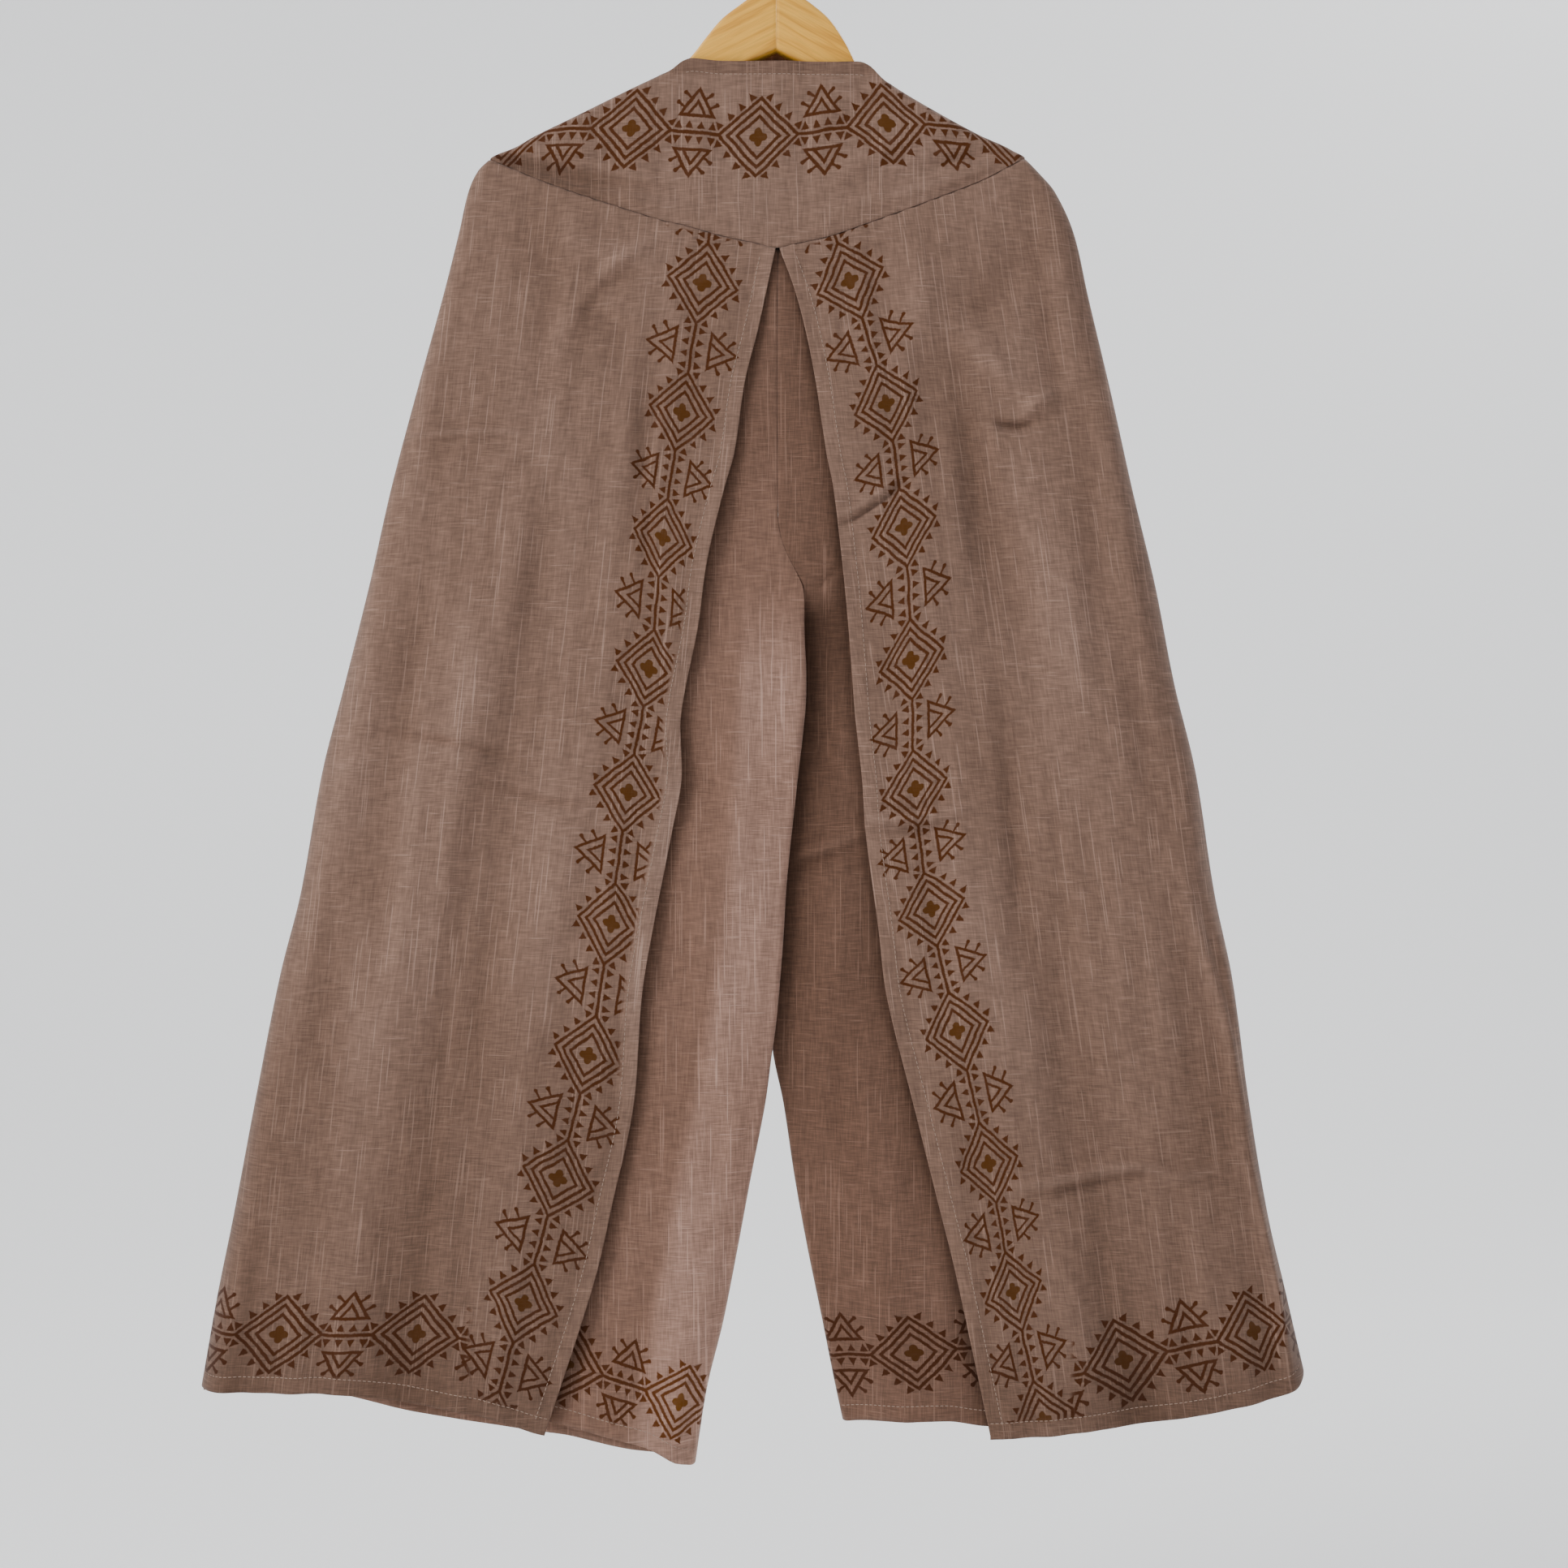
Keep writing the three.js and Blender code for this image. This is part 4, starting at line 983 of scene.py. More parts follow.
HEM_CHAINS = {
    "left": [
        (15, 1638, -0.22, 1),
        (182, 1638, -0.22, 1),
        (350, 1637, -0.237, 1),
        (517, 1638, -0.21, 1),
        (684, 1652, -0.2, 1),
        (851, 1670, -0.2, 1),
    ],
    "right": [
        (1060, 1740, 0.2, 1),
        (1222, 1706, 0.22, 1.03),
        (1381, 1670, 0.24, 1.05),
        (1538, 1632, 0.27, 1.03),
        (1650, 1604, 0.27, 1),
        (1762, 1575, 0.27, 1),
    ],
}
CHAIN_HALF = {"half_long": 30, "half_wide": 25, "heavy": 0}
HEM_HALF = {"half_long": 31, "half_wide": 29.3, "heavy": 0.15}
COTTON = (0.21, 0.125, 0.09)
OVERLAY_GRAIN = {"left": -0.10, "right": 0.13}
# Painted highlight along each overlay's faced inner edge.
EDGE_PAINTED_HIGHLIGHT = {"left": 0.13, "right": 0.07}


def chain_place(marks, across, drop, down=True):
    """Places along and across a chain of stamps, in repeats: along is the number of the stamp,
    smoothly counted on between their centres, at the foot of the block's sloping cross axis
    through the point, and across is the distance from that foot."""
    spots = np.array(marks, float)
    spots[:, :2] = (spots[:, :2] - (WAIST_X_PIXEL, WAIST_Y_PIXEL)) * PIXEL
    main, other = (spots[:, 1], spots[:, 0]) if down else (spots[:, 0], spots[:, 1])
    number = np.arange(len(spots), dtype=float)
    read = table(
        ["main", "number", "other", "slope", "width"], np.column_stack([main, number, other, spots[:, 2:]])
    )
    here, beside = (drop, across) if down else (across, drop)
    foot = here
    for _ in range(4):
        foot = here - read("slope", foot) * (beside - read("other", foot))
    off = (beside - read("other", foot)) * np.sqrt(1 + read("slope", foot) ** 2) / read("width", foot)
    return read("number", foot), off / REPEAT


OVERLAY_RIPPLES = [
    # seed, length, high, drawn
    (11, 62, 0.55, 1.8),
    (12, 24, 0.12, 1.3),
]
DRAWN_RIPPLES = [
    # seed, length, high, drawn
    (13, 26, 0.5, 9),
]
TOP_PUCKER = (0.22, 1.9, 11, 5)
EDGE_WAVE = (0.25, 6.5, 37, 9)
PRINTED_EDGE = 1.5
BAND_HALF = 0.42
FACING_BAND_HALF = 0.09
SEAM_FREE = 30
HEM_PRINTED = {"left": (-600, photo(583, 0)[0]), "right": (photo(1316, 0)[0], 600)}


def drawn_ripples(side, across, drop):
    """Narrow upright waves that lean with the overlay's own threads."""
    return ripples(DRAWN_RIPPLES, across - OVERLAY_GRAIN[side] * drop, drop)


def overlay_folded(side, across, drop, below_top):
    """Creases and ripples of an overlay, which start below its top seam."""
    soft = ripples(OVERLAY_RIPPLES, across, drop) + drawn_ripples(side, across, drop)
    return (soft + crease_height(OVERLAY_CREASES, across, drop)) * smoothstep(below_top, 0, SEAM_FREE)


def above_stitches(above_hem):
    """1 above the hem's stitches and 0 below them, where no print shows."""
    return smoothstep(above_hem, HEM_DEEP - PRINTED_EDGE, HEM_DEEP + PRINTED_EDGE)


def on_band(off, half):
    """1 within half a band's width of its chain, and 0 outside it."""
    return smoothstep(half - np.abs(off), 0, 0.02)


# Painted light and shade on folds and creases: lighter on ridges and darker in troughs, per millimetre of
# height.
RIDGE_PAINTED_SHADE = 0.022
CREASE_PAINTED_SHADE = 0.032
# Painted shade, darker low down on each overlay.
OVERLAY_PAINTED_SHADE_LOW = {
    # how much, from, to, down the overlay
    "left": [(-0.13, 600, 900), (-0.18, 920, 1000), (-0.07, 620, 800)],
    "right": [(-0.13, 600, 900), (-0.18, 920, 1000)],
}


def overlay_shade(side, across, drop, inward):
    """Painted light and shade on an overlay: painted highlight on its ridges and faced edge, painted shade
    in its troughs, low down and towards the right side, and on the left a paler strip where the facing is
    flipped outside, with a painted highlight along its fold."""
    creased = crease_height(OVERLAY_CREASES, across, drop) + drawn_ripples(side, across, drop)
    painted_light = RIDGE_PAINTED_SHADE * fold_height(FRONT_FOLDS, across, drop) + CREASE_PAINTED_SHADE * creased
    painted_light = painted_light + EDGE_PAINTED_HIGHLIGHT[side] * (1 - smoothstep(inward, 4, FACING_WIDE + 3))
    shade = 0.985 + painted_light
    for change, start, end in OVERLAY_PAINTED_SHADE_LOW[side]:
        shade = shade + change * smoothstep(drop, start, end)
    # Painted shade towards the right overlay's outer side; on the left overlay a paler strip of the flipped
    # facing, with a painted highlight along its fold.
    if side == "right":
        shade = shade - 0.09 * smoothstep(across, 170, 300)
    else:
        strip = smoothstep(drop, photo(0, 930)[1], photo(0, 980)[1]) * (1 - smoothstep(drop, 755, 785))
        shade = shade + 0.16 * strip * (1 - smoothstep(inward, FACING_WIDE - 1, FACING_WIDE + 3))
        shade = shade + 0.3 * strip * np.exp(-inward / 1.2)
    return shade


overlay_shares = shares([0, 0.002, 0.005, 0.009, 0.014, 0.02], 84, 18)
overlay_rows = np.linspace(0, 1, 400)
for side in ARMS:

    def overlay_relief(across, drop, below_top, above_hem, inward):
        """Creases, ripples, seam puckers, the turned hem and the faced edge of an overlay."""
        pucker = puckered(across, below_top, *TOP_PUCKER)
        facing = 0.3 * (1 - smoothstep(inward, FACING_WIDE - 1, FACING_WIDE + 2))
        stitched = -0.4 * bell(inward - FACING_WIDE, 1.2)
        edge_wave = puckered(drop, inward, *EDGE_WAVE)
        rolled = -0.5 * np.exp(-below_top / 1.2) - 0.35 * np.exp(-inward / 0.8)
        folded = overlay_folded(side, across, drop, below_top)
        return folded + pucker + facing + stitched + edge_wave + rolled + hem_relief(above_hem)

    shape = {
        "side": side,
        "inset": lambda drop: 0,
        "edge": lambda drop, side=side: free_edge(side, drop),
        "hem": lambda across: hem("overlay", across),
        "face_y": overlay_y,
        "side_gap": 0,
        "faces": -1,
        "relief": overlay_relief,
    }
    points, below_top, above_hem, inward = panel_points(overlay_shares, overlay_rows, shape)
    overlay = grid_object(f"cotton_overlay_{side}", points, outward=(0, -1, 0))
    across, drop = points[..., 0], WAIST_Z - points[..., 2]
    uv_map(overlay, "cloth", (across - OVERLAY_GRAIN[side] * drop) * MM, -drop * MM)
    along_chain, off_chain = chain_place(CHAINS[side], across, drop)
    uv_map(overlay, "chain", along_chain, off_chain)
    along_hem, off_hem = chain_place(HEM_CHAINS[side], across, drop, down=False)
    uv_map(overlay, "hem", along_hem, off_hem)
    printed_half = np.where(along_chain < 0.62, FACING_BAND_HALF, BAND_HALF)
    on_chain = on_band(off_chain, printed_half) * above_stitches(above_hem)
    if side == "left":
        under_facing = (drop > photo(0, 700)[1]) & (drop < photo(0, 1370)[1])
        inside = smoothstep(inward, FACING_WIDE - 1, FACING_WIDE + 1)
        on_chain = on_chain * np.where(under_facing, inside, 1)
    point_value(overlay, "on_chain", on_chain)
    hem_from, hem_to = HEM_PRINTED[side]
    on_hem = smoothstep(across, hem_from - PRINTED_EDGE, hem_from + PRINTED_EDGE)
    on_hem = on_hem * (1 - smoothstep(across, hem_to - PRINTED_EDGE, hem_to + PRINTED_EDGE))
    on_hem = on_hem * above_stitches(above_hem) * on_band(off_hem, BAND_HALF)
    point_value(overlay, "on_hem", on_hem)
    point_value(overlay, "shade", overlay_shade(side, across, drop, inward))
    bands = [
        {"map": "chain", "printed": "on_chain", **CHAIN_HALF},
        {"map": "hem", "printed": "on_hem", **HEM_HALF},
    ]
    dress(overlay, cotton_material(f"printed_cotton_{side}", COTTON, bands))
    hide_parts(f"overlay_{side}")
    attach(overlay, "root")
    sewn = [line_down(points, inward, FACING_WIDE - 2)[4:-3], line_across(points, above_hem, HEM_DEEP)[:-3]]
    stitches(f"stitches_overlay_{side}", sewn)

# Legs: a front and a back of the same cotton for each leg, sewn at the side seam, the inseam and
# the centre seams down to the crotch. Their hems are turned up, stitched and printed.
INNER_EDGE_ROWS = [
    (139, 1, 1.05),
    (335, 1.2, 1.25),
    (352, 3.2, 3.25),
    (366, 8, 8.05),
    (380, 15, 15.05),
    (390, 19.4, 19.5),
    (398, 20.6, 20.4),
    (415, 20.8, 19.6),
    (432, 21.2, 19.4),
    (452, 22.2, 18.5),
    (480, 21.7, 13.5),
    (533, 15.9, 6.5),
    (606, 8.1, -1),
    (655, 5, -4),
    (710, 0.3, -5),
    (740, -3.7, -2),
    (773, -8.1, 5),
    (829, -19, 13.5),
    (880, -28.5, 22.7),
    (935, -39.3, 34),
    (985, -51.5, 44),
    (1040, -60, 56),
]
INSEAM_ROWS = [
    (398, -12.5, -17, -5, -8, -13, -5),
    (415, -13.5, -17, -11, -5.5, -9, -2.5),
    (450, -13.5, -17.5, -11, -4, -8, -1),
    (700, -14, -19, -10.5, -3, -8, 1),
    (1040, -8, -18, -1, -2, -10, 4),
]
BACK_FOLDS = [
    # at_waist, at_hem, width, height, starts
    (-70, -150, 22, 5, 160),
    (-120, -250, 26, -5, 130),
    (-165, -330, 26, 6, 160),
    (75, 160, 24, 5, 150),
    (125, 240, 24, -5, 130),
    (155, 300, 24, 6, 170),
]
WALL = 1.6
TURN = 5
SPACE = {"top": 0.6, "below": 2.8, "from": 140, "to": 260}
PRESSED = {"depth": 2.5, "width": 16, "from": 230, "to": 420}
SWELL = {"left": 4, "right": 0, "width": 16, "from": 430, "to": 600}
FRONT_DRAWN = {"left": 18, "right": 52, "edge": 3, "from": 375, "to": 415}
BACK_DRAWN = {"left": 34, "right": 10, "reach": 85, "from": 300, "flat_from": 380, "flat_to": 440}
SIDE_ROOM = {"shoulder": 1.7, "below": 0.6, "from": 80, "to": 140}
inner_edge = table(["drop", "left", "right"], INNER_EDGE_ROWS)
inseam = table(
    ["drop", "left_seam", "left_front", "left_back", "right_seam", "right_front", "right_back"], INSEAM_ROWS
)

LEG_CREASES = [
    # x_from, y_from, x_to, y_to, bow, width, ridge, pinch
    (1012, 730, 1036, 704, -5, 3, -1.1, 3),
    (983, 1050, 1064, 1018, 4, 4.4, 3.8, 3.6),
    (975, 1065, 1040, 1052, 3, 5, -2.5, 0),
    (978, 1482, 1022, 1470, 2, 5, 2, 1.2),
    (905, 850, 915, 1150, 6, 14, 2.1, 0),
    (915, 1150, 880, 1400, 5, 15, 2.1, 0),
    (898, 1030, 984, 1032, 5, 5, 1.8, 0.9),
    (846, 1100, 850, 1280, 4, 9, -1.5, 0),
    (818, 1545, 934, 1496, 5, 8, -1.8, 0.68),
    (846, 1642, 880, 1616, 4, 5, 1.8, 1.2),
    (800, 1560, 790, 1720, 4, 10, -1.95, 0),
    (850, 1580, 830, 1740, 4, 10, 2.25, 0),
    (1080, 1330, 1120, 1560, 8, 12, 1.8, 0),
    (1030, 1250, 1060, 1480, 6, 12, -1.8, 0),
    (1150, 1500, 1170, 1700, 4, 10, 1.5, 0),
    (905, 700, 890, 900, 6, 12, -1.5, 0),
    (960, 470, 940, 640, 4, 8, -1.2, 0),
    (1010, 860, 1040, 1000, 5, 10, -1.5, 0),
]
BACK_CREASES = [
    (620, 420, 760, 520, 12, 10, 2.7, 0),
    (1290, 430, 1160, 560, -12, 10, 2.7, 0),
    (560, 760, 700, 790, 8, 5, 2.2, 2.1),
    (1340, 840, 1200, 880, -8, 5, 2.2, 2.1),
    (470, 1240, 640, 1270, 8, 6, 2.7, 2.1),
    (1420, 1330, 1260, 1350, -6, 6, 2.7, 2.1),
    (900, 760, 760, 840, 10, 8, -2.4, 0),
    (1010, 760, 1150, 850, -10, 8, -2.4, 0),
    (880, 860, 700, 980, 12, 10, -2.1, 0),
    (1030, 870, 1200, 990, -12, 10, -2.1, 0),
    (700, 1050, 640, 1400, 10, 16, 2.7, 0),
    (1200, 1060, 1270, 1400, -10, 16, 2.7, 0),
    (520, 1400, 470, 1700, 8, 14, 2.4, 0),
    (1420, 1420, 1470, 1660, -8, 14, 2.4, 0),
    (690, 300, 600, 760, 14, 15, 3, 0),
    (780, 320, 700, 900, 12, 14, -2.8, 0),
    (870, 330, 810, 700, 8, 12, 2.4, 0),
    (1210, 300, 1300, 740, -14, 15, 3, 0),
    (1130, 320, 1190, 880, -12, 14, -2.8, 0),
    (1040, 330, 1080, 700, -8, 12, 2.4, 0),
    (560, 900, 500, 1300, 8, 14, -2.8, 0),
    (1360, 900, 1430, 1300, -8, 14, -2.8, 0),
    (820, 1150, 760, 1640, 8, 15, -2.8, 0),
    (1060, 1200, 1130, 1640, -8, 15, -2.8, 0),
    (900, 1250, 870, 1680, 6, 12, 2.6, 0),
]
LEG_HEM_CHAINS = {
    "left": [
        # x, y, slope, width
        (380, 1640, -0.1, 1),
        (540, 1646, -0.2, 1),
        (698, 1676, -0.28, 1),
        (839, 1721, -0.27, 0.95),
        (960, 1770, -0.27, 0.95),
    ],
    "right": [
        (795, 1700, 0.15, 0.95),
        (960, 1680, 0.16, 0.95),
        (1125, 1662, 0.162, 0.93),
        (1290, 1650, 0.16, 0.95),
        (1455, 1630, 0.16, 1),
    ],
}
BACK_HEM_CHAINS = {
    "left": [
        (150, 1648, -0.15, 1),
        (315, 1656, -0.15, 1),
        (480, 1666, -0.12, 1),
        (645, 1688, -0.08, 1),
        (810, 1706, -0.04, 1),
        (975, 1716, 0, 1),
    ],
    "right": [
        (900, 1690, 0, 1),
        (1065, 1676, 0.06, 1),
        (1230, 1662, 0.1, 1),
        (1395, 1645, 0.15, 1),
        (1560, 1618, 0.2, 1),
        (1725, 1580, 0.24, 1),
    ],
}
UNDER_COTTON = (0.227, 0.127, 0.09)


def leg_front_y(side, across, drop):
    """A leg front's outer face: a small space behind the overlay, pressed back by its edge and its
    troughs, swollen forward where the left one shows, and drawn to the inseam beside it."""
    space = SPACE["top"] + (SPACE["below"] - SPACE["top"]) * smoothstep(drop, SPACE["from"], SPACE["to"])
    edge, inner = free_edge(side, drop), inner_edge(side, drop)
    grown = smoothstep(drop, PRESSED["from"], PRESSED["to"])
    pressed = PRESSED["depth"] * grown * bell(across - edge, PRESSED["width"])
    swollen = SWELL[side] * smoothstep(drop, SWELL["from"], SWELL["to"])
    belly = swollen * bell(across - (edge + inner) / 2, SWELL["width"])
    under = smoothstep(ARMS[side]["outwards"] * (across - edge), -2, 8)
    trough = -np.minimum(0, overlay_folded(side, across, drop, drop - yoke("seam", across))) * under
    hung = overlay_y(across, drop) + WALL + space + pressed + trough - belly
    away = np.abs(across - inner)
    below = smoothstep(drop, FRONT_DRAWN["from"], FRONT_DRAWN["to"])
    weight = below * (1 - smoothstep(away, FRONT_DRAWN["edge"], FRONT_DRAWN[side]))
    return hung + (inseam(f"{side}_front", drop) - hung) * weight


def leg_back_y(side, across, drop):
    """A leg back's outer face: the body's depth and its folds, drawn forward beside the inseam."""
    main = body("back", drop) + fold_height(BACK_FOLDS, across, drop)
    away = np.abs(across - inner_edge(side, drop))
    below = smoothstep(drop, BACK_DRAWN["from"], CROTCH)
    flat = BACK_DRAWN[side] * smoothstep(drop, BACK_DRAWN["flat_from"], BACK_DRAWN["flat_to"])
    weight = below * (1 - smoothstep(away, flat, flat + BACK_DRAWN["reach"]))
    return main + (inseam(f"{side}_back", drop) - main) * weight


CENTRE_PUCKER = (0.2, 2.1, 13, 5)
LEG_RIPPLES = {
    # seed, length, high, drawn
    "front": [(31, 58, 0.45, 1.8), (32, 22, 0.1, 1.3)],
    "back": [(41, 58, 0.585, 1.8), (42, 22, 0.1, 1.3)],
}


def leg_relief(part, creases):
    """Creases, ripples, seam puckers and the turned hem of a leg panel."""

    def relief(across, drop, below_top, above_hem, inward):
        """Height of the panel's relief."""
        folded = ripples(LEG_RIPPLES[part], across, drop) + crease_height(creases, across, drop)
        centre = smoothstep(CROTCH - 30 - drop, 0, 20)
        seamed = puckered(drop, inward, *CENTRE_PUCKER) - 0.9 * np.exp(-inward / 1.4)
        rolled = seamed * centre - 0.7 * np.exp(-below_top / 1.4)
        return folded * smoothstep(below_top, 0, SEAM_FREE) + rolled + hem_relief(above_hem)

    return relief


def leg_panel(side, part, shape, columns, rows, seam_value, chains):
    """Makes one leg panel: its mesh, cloth and hem print coordinates, shade and finish, hides the part it
    replaces, and hangs it on the root with its hem stitches.
    """
    points, below_top, above_hem, inward = panel_points(columns, rows, shape)
    name = f"leg_{part}_{side}"
    piece = grid_object(f"cotton_{name}", points, outward=(0, shape["faces"], 0))
    across, drop = points[..., 0], WAIST_Z - points[..., 2]
    uv_map(piece, "cloth", across * MM + seam_value, -drop * MM)
    along, off = chain_place(chains, across, drop, down=False)
    uv_map(piece, "hem", along, off)
    point_value(piece, "on_hem", above_stitches(above_hem) * on_band(off, BAND_HALF))
    point_value(piece, "shade", shape["shade"](across, drop, inward))
    band = {"map": "hem", "printed": "on_hem", **HEM_HALF}
    dress(piece, cotton_material(f"leg_cotton_{part}_{side}", UNDER_COTTON, [band]))
    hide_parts(name)
    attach(piece, "root")
    sewn = stitches(f"stitches_{name}", [line_across(points, above_hem, HEM_DEEP)[3:-3]])


def front_shade(side):
    """Painted light and shade on the leg fronts: painted shade at the top under the overlays and a
    painted contact shadow beside their edges. Lower down the left one has a painted lit band beyond a
    soft fold, and the right one a painted shadow where the left leg covers it."""

    def shade(across, drop, inward):
        """Painted light and shade on the panel."""
        # Painted shade at the top under the overlays, and a painted contact shadow beside their edges.
        upper = 1 - smoothstep(drop, 200, 460)
        from_overlay = np.abs(across - free_edge(side, drop))
        edge = 1 - 0.3 * np.exp(-((from_overlay / 5) ** 2)) - 0.12 * np.exp(-((from_overlay / 16) ** 2))
        painted_light = CREASE_PAINTED_SHADE * crease_height(LEG_CREASES, across, drop)
        if side == "left":
            # Painted light: a lit band on the left leg beyond a soft fold.
            fold = -27 - 0.05 * (drop - 470) - 0.14 * np.maximum(0, drop - 640)
            painted_lit_band = 0.55 * smoothstep(across, fold - 7, fold + 7) * smoothstep(drop, 380, 470)
            return (0.92 - 0.16 * upper + painted_lit_band + painted_light) * edge
        # Painted shadow on the right leg where the left leg covers it.
        covered = smoothstep(drop, CROTCH - 10, CROTCH + 20) * (1 - smoothstep(drop, 600, 840))
        return (0.69 - 0.02 * upper - 0.44 * covered * np.exp(-((inward / 32) ** 2)) + painted_light) * edge

    return shade


def back_shade(across, drop, inward):
    """Painted light and shade on the leg backs: paler on their folds and ridges, darker in their troughs
    and beside the seams, and darker low down.
    """
    painted_light = RIDGE_PAINTED_SHADE * fold_height(BACK_FOLDS, across, drop)
    painted_light = painted_light + CREASE_PAINTED_SHADE * crease_height(BACK_CREASES, across, drop)
    return 1 + painted_light - 0.1 * smoothstep(drop, 600, 1000) - 0.2 * np.exp(-inward / 4)


leg_shares = shares([0, 0.006, 0.014, 0.024, 0.036, 0.048, INNER_TURN], 70, 14)
back_shares = shares([0, 0.006, 0.014, 0.024, 0.036, 0.048, INNER_TURN], 76, 18)
leg_rows = np.linspace(0, 1, 230)
back_rows = np.linspace(0, 1, 220)


def front_inset(drop):
    """How far within the overlay's side a leg front's own side lies."""
    grown = smoothstep(drop, SIDE_ROOM["from"], SIDE_ROOM["to"])
    return WALL + SIDE_ROOM["shoulder"] + (SIDE_ROOM["below"] - SIDE_ROOM["shoulder"]) * grown


for side in ARMS:
    both = {"side": side, "turn": TURN, "edge": lambda drop, side=side: inner_edge(side, drop)}
    front = both | {
        "inset": front_inset,
        "hem": lambda across: hem("leg_front", across),
        "face_y": lambda across, drop, side=side: leg_front_y(side, across, drop),
        "seam_y": lambda drop, side=side: inseam(f"{side}_seam", drop),
        "side_gap": -0.6,
        "faces": -1,
        "relief": leg_relief("front", LEG_CREASES),
        "shade": front_shade(side),
    }
    back = both | {
        "inset": lambda drop: 0,
        "hem": lambda across: hem("back", across),
        "face_y": lambda across, drop, side=side: leg_back_y(side, across, drop),
        "seam_y": lambda drop, side=side: inseam(f"{side}_seam", drop) + 2 * SEAM_GAP,
        "side_gap": 2 * SEAM_GAP,
        "faces": 1,
        "relief": leg_relief("back", BACK_CREASES),
        "shade": back_shade,
    }
    leg_panel(side, "front", front, leg_shares, leg_rows, 0.3, LEG_HEM_CHAINS[side])
    leg_panel(side, "back", back, back_shares, back_rows, 0.7, BACK_HEM_CHAINS[side])

# Yoke: a slanted front piece drawn over the hanger's arms and a back piece that hangs flat behind
# them, both of the same cotton with a printed band, and each ends at the waist in a stitched casing.
OVER_ARM = 7
ARM_DEPTH = body("front", 71)
WAIST_HALF = 70
WRAPPED = 110
CORNER = 150
TAIL = 12
END_ROLL = 8
UPPER_ZONE = 16
LOWER_SHARE = 0.4
YOKE_LEFT = -213
YOKE_RIGHT = 185
CASING_DEEP = 9.6
YOKE_CREASES = [
    # x_from, y_from, x_to, y_to, bow, width, ridge, pinch
    (632, 194, 830, 232, 8, 6, -3.2, -1.8),
    (650, 178, 760, 178, 6, 6, 3.2, 0),
    (1142, 166, 1026, 224, 6, 7, 2.7, 0.81),
    (1240, 190, 1130, 214, 6, 5, -2.7, -1.4),
    (700, 130, 830, 190, 8, 9, 1.35, 0),
    (1090, 110, 1010, 180, 6, 9, -1.2, 0),
    (860, 90, 880, 250, 5, 12, 1.05, 0),
    (1000, 90, 985, 260, 5, 12, -1.05, 0),
    (690, 210, 900, 262, 6, 7, 1.2, 0),
    (1220, 214, 1040, 262, -4, 7, 1.2, 0),
    (1010, 262, 1245, 199, 4, 5, 2.6, 0),
    (730, 226, 930, 284, 2, 5, 1.8, 0),
]
YOKE_CHAIN = [
    # x, y, slope, width
    (470, 250, -0.2, 1),
    (622, 168, -0.2, 1),
    (777, 156, -0.17, 1),
    (934, 166, -0.08, 1),
    (1093, 150, 0.15, 1),
    (1246, 168, 0.2, 1),
    (1400, 250, 0.2, 1),
]
YOKE_HALF = {"half_long": 30.5, "half_wide": 30, "heavy": 0.2}
YOKE_PUCKER = (0.18, 1.7, 9, 4)
YOKE_RIPPLES = {
    # seed, length, high, drawn
    "front": [(51, 40, 0.3, 1)],
    "back": [(61, 40, 0.4, 1)],
}


def over_arm(across):
    """How high the yoke arches over the hanger's arm."""
    return np.minimum(OVER_ARM, 0.6 * (yoke("seam", across) - yoke("top", across)))


def arch(across):
    """Height of the half ellipse over the arm, and the length of its arc from front to back."""
    height = over_arm(across) * smoothstep(np.abs(across), WAIST_HALF - 8, WAIST_HALF + 14)
    return height, math.pi * np.sqrt((ARM_DEPTH**2 + height**2) / 2)


def end_depth(across):
    """How much of its depth the yoke keeps near its ends, where it turns back in a quarter circle."""
    beyond = np.maximum(YOKE_LEFT - 1 + END_ROLL - across, across - YOKE_RIGHT - 1 + END_ROLL)
    return np.sqrt(1 - np.clip(beyond / END_ROLL, 0, 0.98) ** 2)


def yoke_tail(across):
    """How far the front yoke reaches down behind the arm."""
    grown = smoothstep(np.abs(across), WRAPPED, CORNER)
    room = yoke("seam", across) - yoke("top", across) - OVER_ARM
    return np.minimum(TAIL, np.maximum(0, 0.5 * room)) * grown


def yoke_zone(across):
    """Depth of the upper yoke, which lies flat against the arm."""
    return np.minimum(UPPER_ZONE, 0.85 * (yoke("seam", across) - yoke("top", across)))


def yoke_upper(across, along, zone):
    """Drop and y on the upper yoke, along its column: up the front, over the arm, down the back."""
    top = yoke("top", across)
    height, arc = arch(across)
    rise = zone - height
    angle = (along - rise) / arc * math.pi
    drop = top + height * (1 - np.sin(angle))
    y = -ARM_DEPTH * np.cos(angle)
    drop = np.where(along <= rise, top + zone - along, drop)
    y = np.where(along <= rise, -ARM_DEPTH, y)
    behind = (angle > math.pi) & (along > rise)
    drop = np.where(behind, top + height + along - rise - arc, drop)
    return drop, np.where(behind, ARM_DEPTH, y)


def yoke_upper_length(across, zone):
    """Length of the upper yoke along its column, from its lower end to its edge."""
    height, arc = arch(across)
    wrapped = smoothstep(np.abs(across), WAIST_HALF, WRAPPED)
    return zone - height + arc * wrapped + yoke_tail(across)


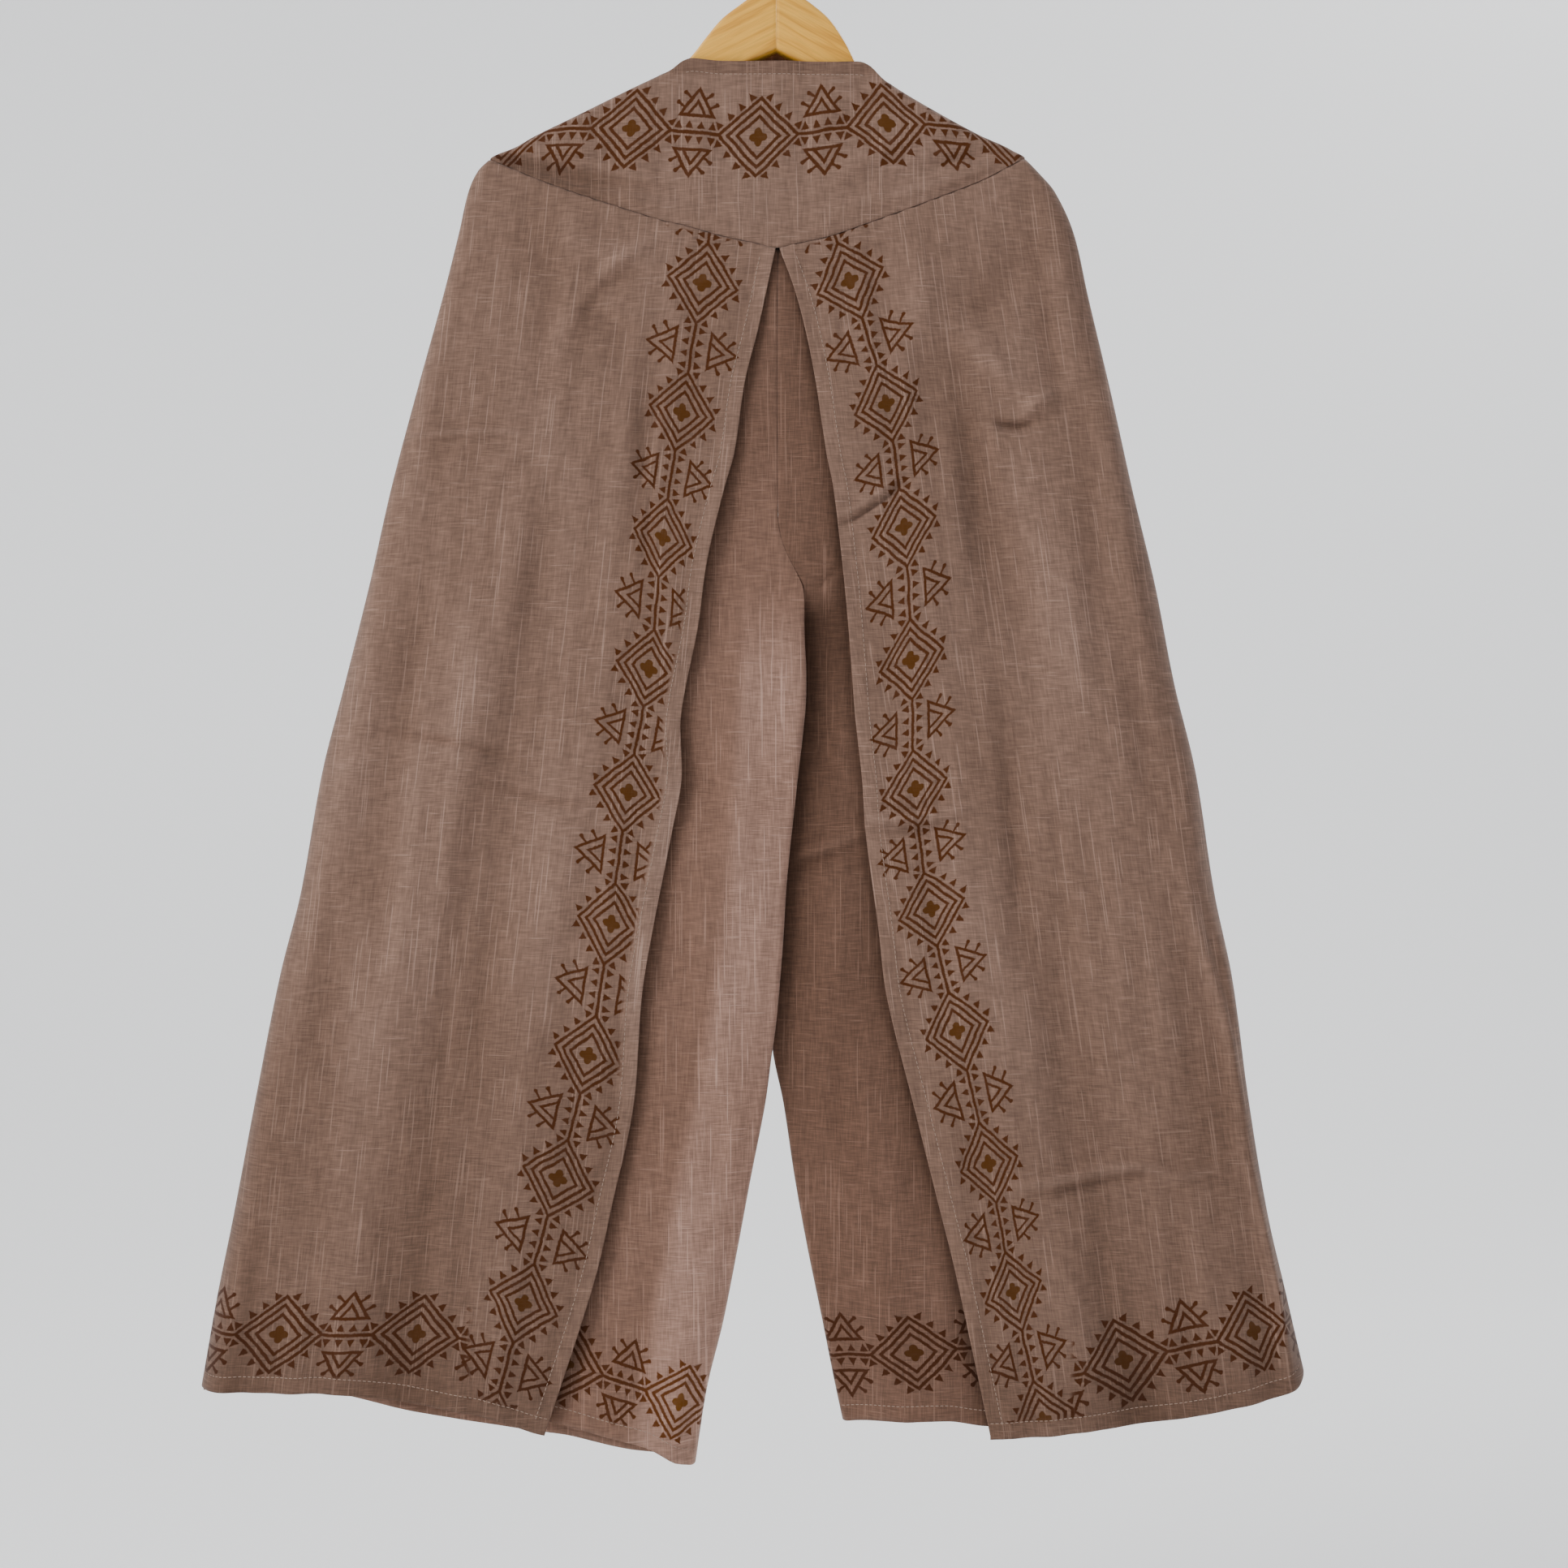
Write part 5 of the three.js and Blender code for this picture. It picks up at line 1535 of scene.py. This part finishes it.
def front_yoke_points(u, v):
    """The front yoke over its width and from the seam up: straight to the upper zone, then along it
    to the waist edge."""
    across = (YOKE_LEFT + (YOKE_RIGHT - YOKE_LEFT) * u)[:, None]
    v = v[None, :]
    zone = yoke_zone(across)
    start = yoke("top", across) + zone
    lower = yoke("seam", across) + (start - yoke("seam", across)) * v / LOWER_SHARE
    lower_y = -body("front", lower) + (body("front", lower) - ARM_DEPTH) * smoothstep(v, 0, LOWER_SHARE)
    along = (v - LOWER_SHARE) / (1 - LOWER_SHARE) * yoke_upper_length(across, zone)
    upper, upper_y = yoke_upper(across, np.maximum(along, 0), zone)
    drop = np.where(v <= LOWER_SHARE, lower, upper)
    y = np.where(v <= LOWER_SHARE, lower_y, upper_y)
    to_seam = yoke("seam", across) - drop
    front_side = smoothstep(-y, ARM_DEPTH - 3, ARM_DEPTH)
    creased = crease_height(YOKE_CREASES, across, drop) + ripples(YOKE_RIPPLES["front"], across, drop)
    relief = creased * smoothstep(to_seam, 0, 8) * front_side
    pucker = puckered(across, to_seam, *YOKE_PUCKER)
    stitched = -0.4 * bell(drop - yoke("top", across) - CASING_DEEP, 1.1) * (np.abs(across) < WAIST_HALF)
    y = (y - relief - pucker - stitched) * end_depth(across)
    return np.stack([across + 0 * v, y, WAIST_Z - drop], -1), drop


def back_waist_drop(across):
    """Drop of the back yoke's top: the back waist, or beyond it just below the front yoke's tail."""
    beyond = yoke("top", across) + over_arm(across) + yoke_tail(across) + 3 * SEAM_GAP
    return np.where(np.abs(across) < CORNER, yoke("back_waist", across), beyond)


def back_yoke_points(u, v):
    """The back yoke over its width and from its seam up to the back waist edge."""
    across = (YOKE_LEFT + (YOKE_RIGHT - YOKE_LEFT) * u)[:, None]
    v = v[None, :]
    drop = yoke("seam", across) + (back_waist_drop(across) - yoke("seam", across)) * v
    y = body("back", drop) + (ARM_DEPTH - body("back", drop)) * smoothstep(v, 0, 0.7)
    to_seam = yoke("seam", across) - drop
    relief = ripples(YOKE_RIPPLES["back"], across, drop) * smoothstep(to_seam, 0, 8)
    y = (y + relief - 0.5 * np.exp(-to_seam / 1.3)) * end_depth(across)
    return np.stack([across + 0 * v, y, WAIST_Z - drop], -1), drop


def yoke_piece(name, points, drop, faces, replaced, shade, lines):
    """Makes one yoke piece: its mesh, cloth and print coordinates, shade and finish, hides the parts it
    replaces, and hangs it on the root with its stitches.
    """
    piece = grid_object(name, points, outward=(0, faces, 0))
    across = points[..., 0]
    uv_map(piece, "cloth", (across + 40) * MM, -drop * MM)
    along, off = chain_place(YOKE_CHAIN, across, drop, down=False)
    uv_map(piece, "band", along, off)
    on_front = smoothstep(-faces * -points[..., 1], -2, 6)
    point_value(piece, "on_band", on_band(off, BAND_HALF) * on_front)
    point_value(piece, "shade", shade)
    band = {"map": "band", "printed": "on_band", **YOKE_HALF}
    dress(piece, cotton_material(f"{name}_finish", COTTON, [band]))
    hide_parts(*replaced)
    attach(piece, "root")
    stitches(f"stitches_{name}", lines)


def casing_line(points, drop):
    """The line of stitches below the casing, between the waist's corners."""
    across = points[:, 0, 0]
    line = line_across(points, drop - drop[:, -1:], CASING_DEEP)
    return line[np.abs(across) < WAIST_HALF]


SHOULDER_CREASE = {"drop": 65, "slope": 0.19}
yoke_columns = (1 - np.cos(np.linspace(0, math.pi, 220))) / 2
front_points, front_drop = front_yoke_points(yoke_columns, np.linspace(0, 1, 90))
front_across = front_points[..., 0]
# Painted shade under the shoulder crease at the yoke's left end, and on the casing.
below_crease = front_drop - SHOULDER_CREASE["drop"] - SHOULDER_CREASE["slope"] * (front_across - YOKE_LEFT)
shoulder = smoothstep(below_crease, -3, 5) * (1 - smoothstep(front_across, -150, -80))
casing = 1 - smoothstep(front_drop, CASING_DEEP - 1, CASING_DEEP + 1)
front_shade_values = 1.03 - 0.36 * shoulder - 0.2 * casing * (np.abs(front_across) < CORNER)
yoke_piece(
    "cotton_yoke_front", front_points, front_drop, -1, ["yoke_front", "waist_casing_front"],
    front_shade_values, [casing_line(front_points, front_drop)]
)
back_points, back_drop = back_yoke_points(yoke_columns, np.linspace(0, 1, 50))
yoke_piece(
    "cotton_yoke_back", back_points, back_drop, 1, ["yoke_back", "waist_casing_back"],
    np.ones(back_drop.shape), [casing_line(back_points, back_drop)]
)

# Floor: a plain pale sweep, so that the garment hangs in soft light with nothing behind it.
FLOOR_Z = -1500
SWEEP_Y = 2600
SWEEP_BEND = 900
SWEEP_FRONT = -3500
SWEEP_TOP = 4000
SWEEP_HALF = 6000
sweep_angle = np.linspace(0, math.pi / 2, 24)
sweep_bend = np.column_stack(
    [SWEEP_Y - SWEEP_BEND * (1 - np.sin(sweep_angle)), FLOOR_Z + SWEEP_BEND * (1 - np.cos(sweep_angle))]
)
sweep_profile = np.vstack([[(SWEEP_FRONT, FLOOR_Z)], sweep_bend, [(SWEEP_Y, SWEEP_TOP)]])
sweep_x = np.array([-SWEEP_HALF, SWEEP_HALF])[:, None] + 0 * sweep_profile[:, 0]
sweep_yz = np.broadcast_to(sweep_profile, (2, *sweep_profile.shape))
sweep_points = np.concatenate([sweep_x[..., None], sweep_yz], -1)
floor = grid_object("pale_floor", sweep_points, outward=(0, -1, 1))
pale, _, pale_shader = new_material("pale_floor", Roughness=0.9)
pale_shader.inputs["Base Color"].default_value = (0.93, 0.935, 0.935, 1)
pale_shader.inputs["Emission Color"].default_value = (1, 1, 1, 1)
pale_shader.inputs["Emission Strength"].default_value = 0.27
floor.data.materials.append(pale)

# Light: a pale sky all round, a large soft lamp above and to the left of the camera, and a weaker
# one high behind the garment for its back.
world = bpy.data.worlds.new("soft sky")
bpy.context.scene.world = world
world.use_nodes = True
world.node_tree.nodes["Background"].inputs["Color"].default_value = (0.93, 0.95, 1.0, 1)
world.node_tree.nodes["Background"].inputs["Strength"].default_value = 0.5


def lamp(name, place, target, size, power):
    """A square area lamp at a place, turned towards a target, both in metres."""
    data = bpy.data.lights.new(name, "AREA")
    data.size = size
    data.energy = power
    made = bpy.data.objects.new(name, data)
    bpy.context.scene.collection.objects.link(made)
    made.location = place
    way = np.array(target) - np.array(place)
    made.rotation_euler = (
        math.pi / 2 + math.atan2(way[2], math.hypot(way[0], way[1])),
        0,
        math.atan2(way[1], way[0]) - math.pi / 2,
    )
    return made


lamp("soft_key", (-2.3, -1.5, 1.45), (0, 0, -0.6), 1.2, 90)
lamp("soft_back", (2.3, 1.5, 2.1), (0, 0, -0.6), 1.2, 60)
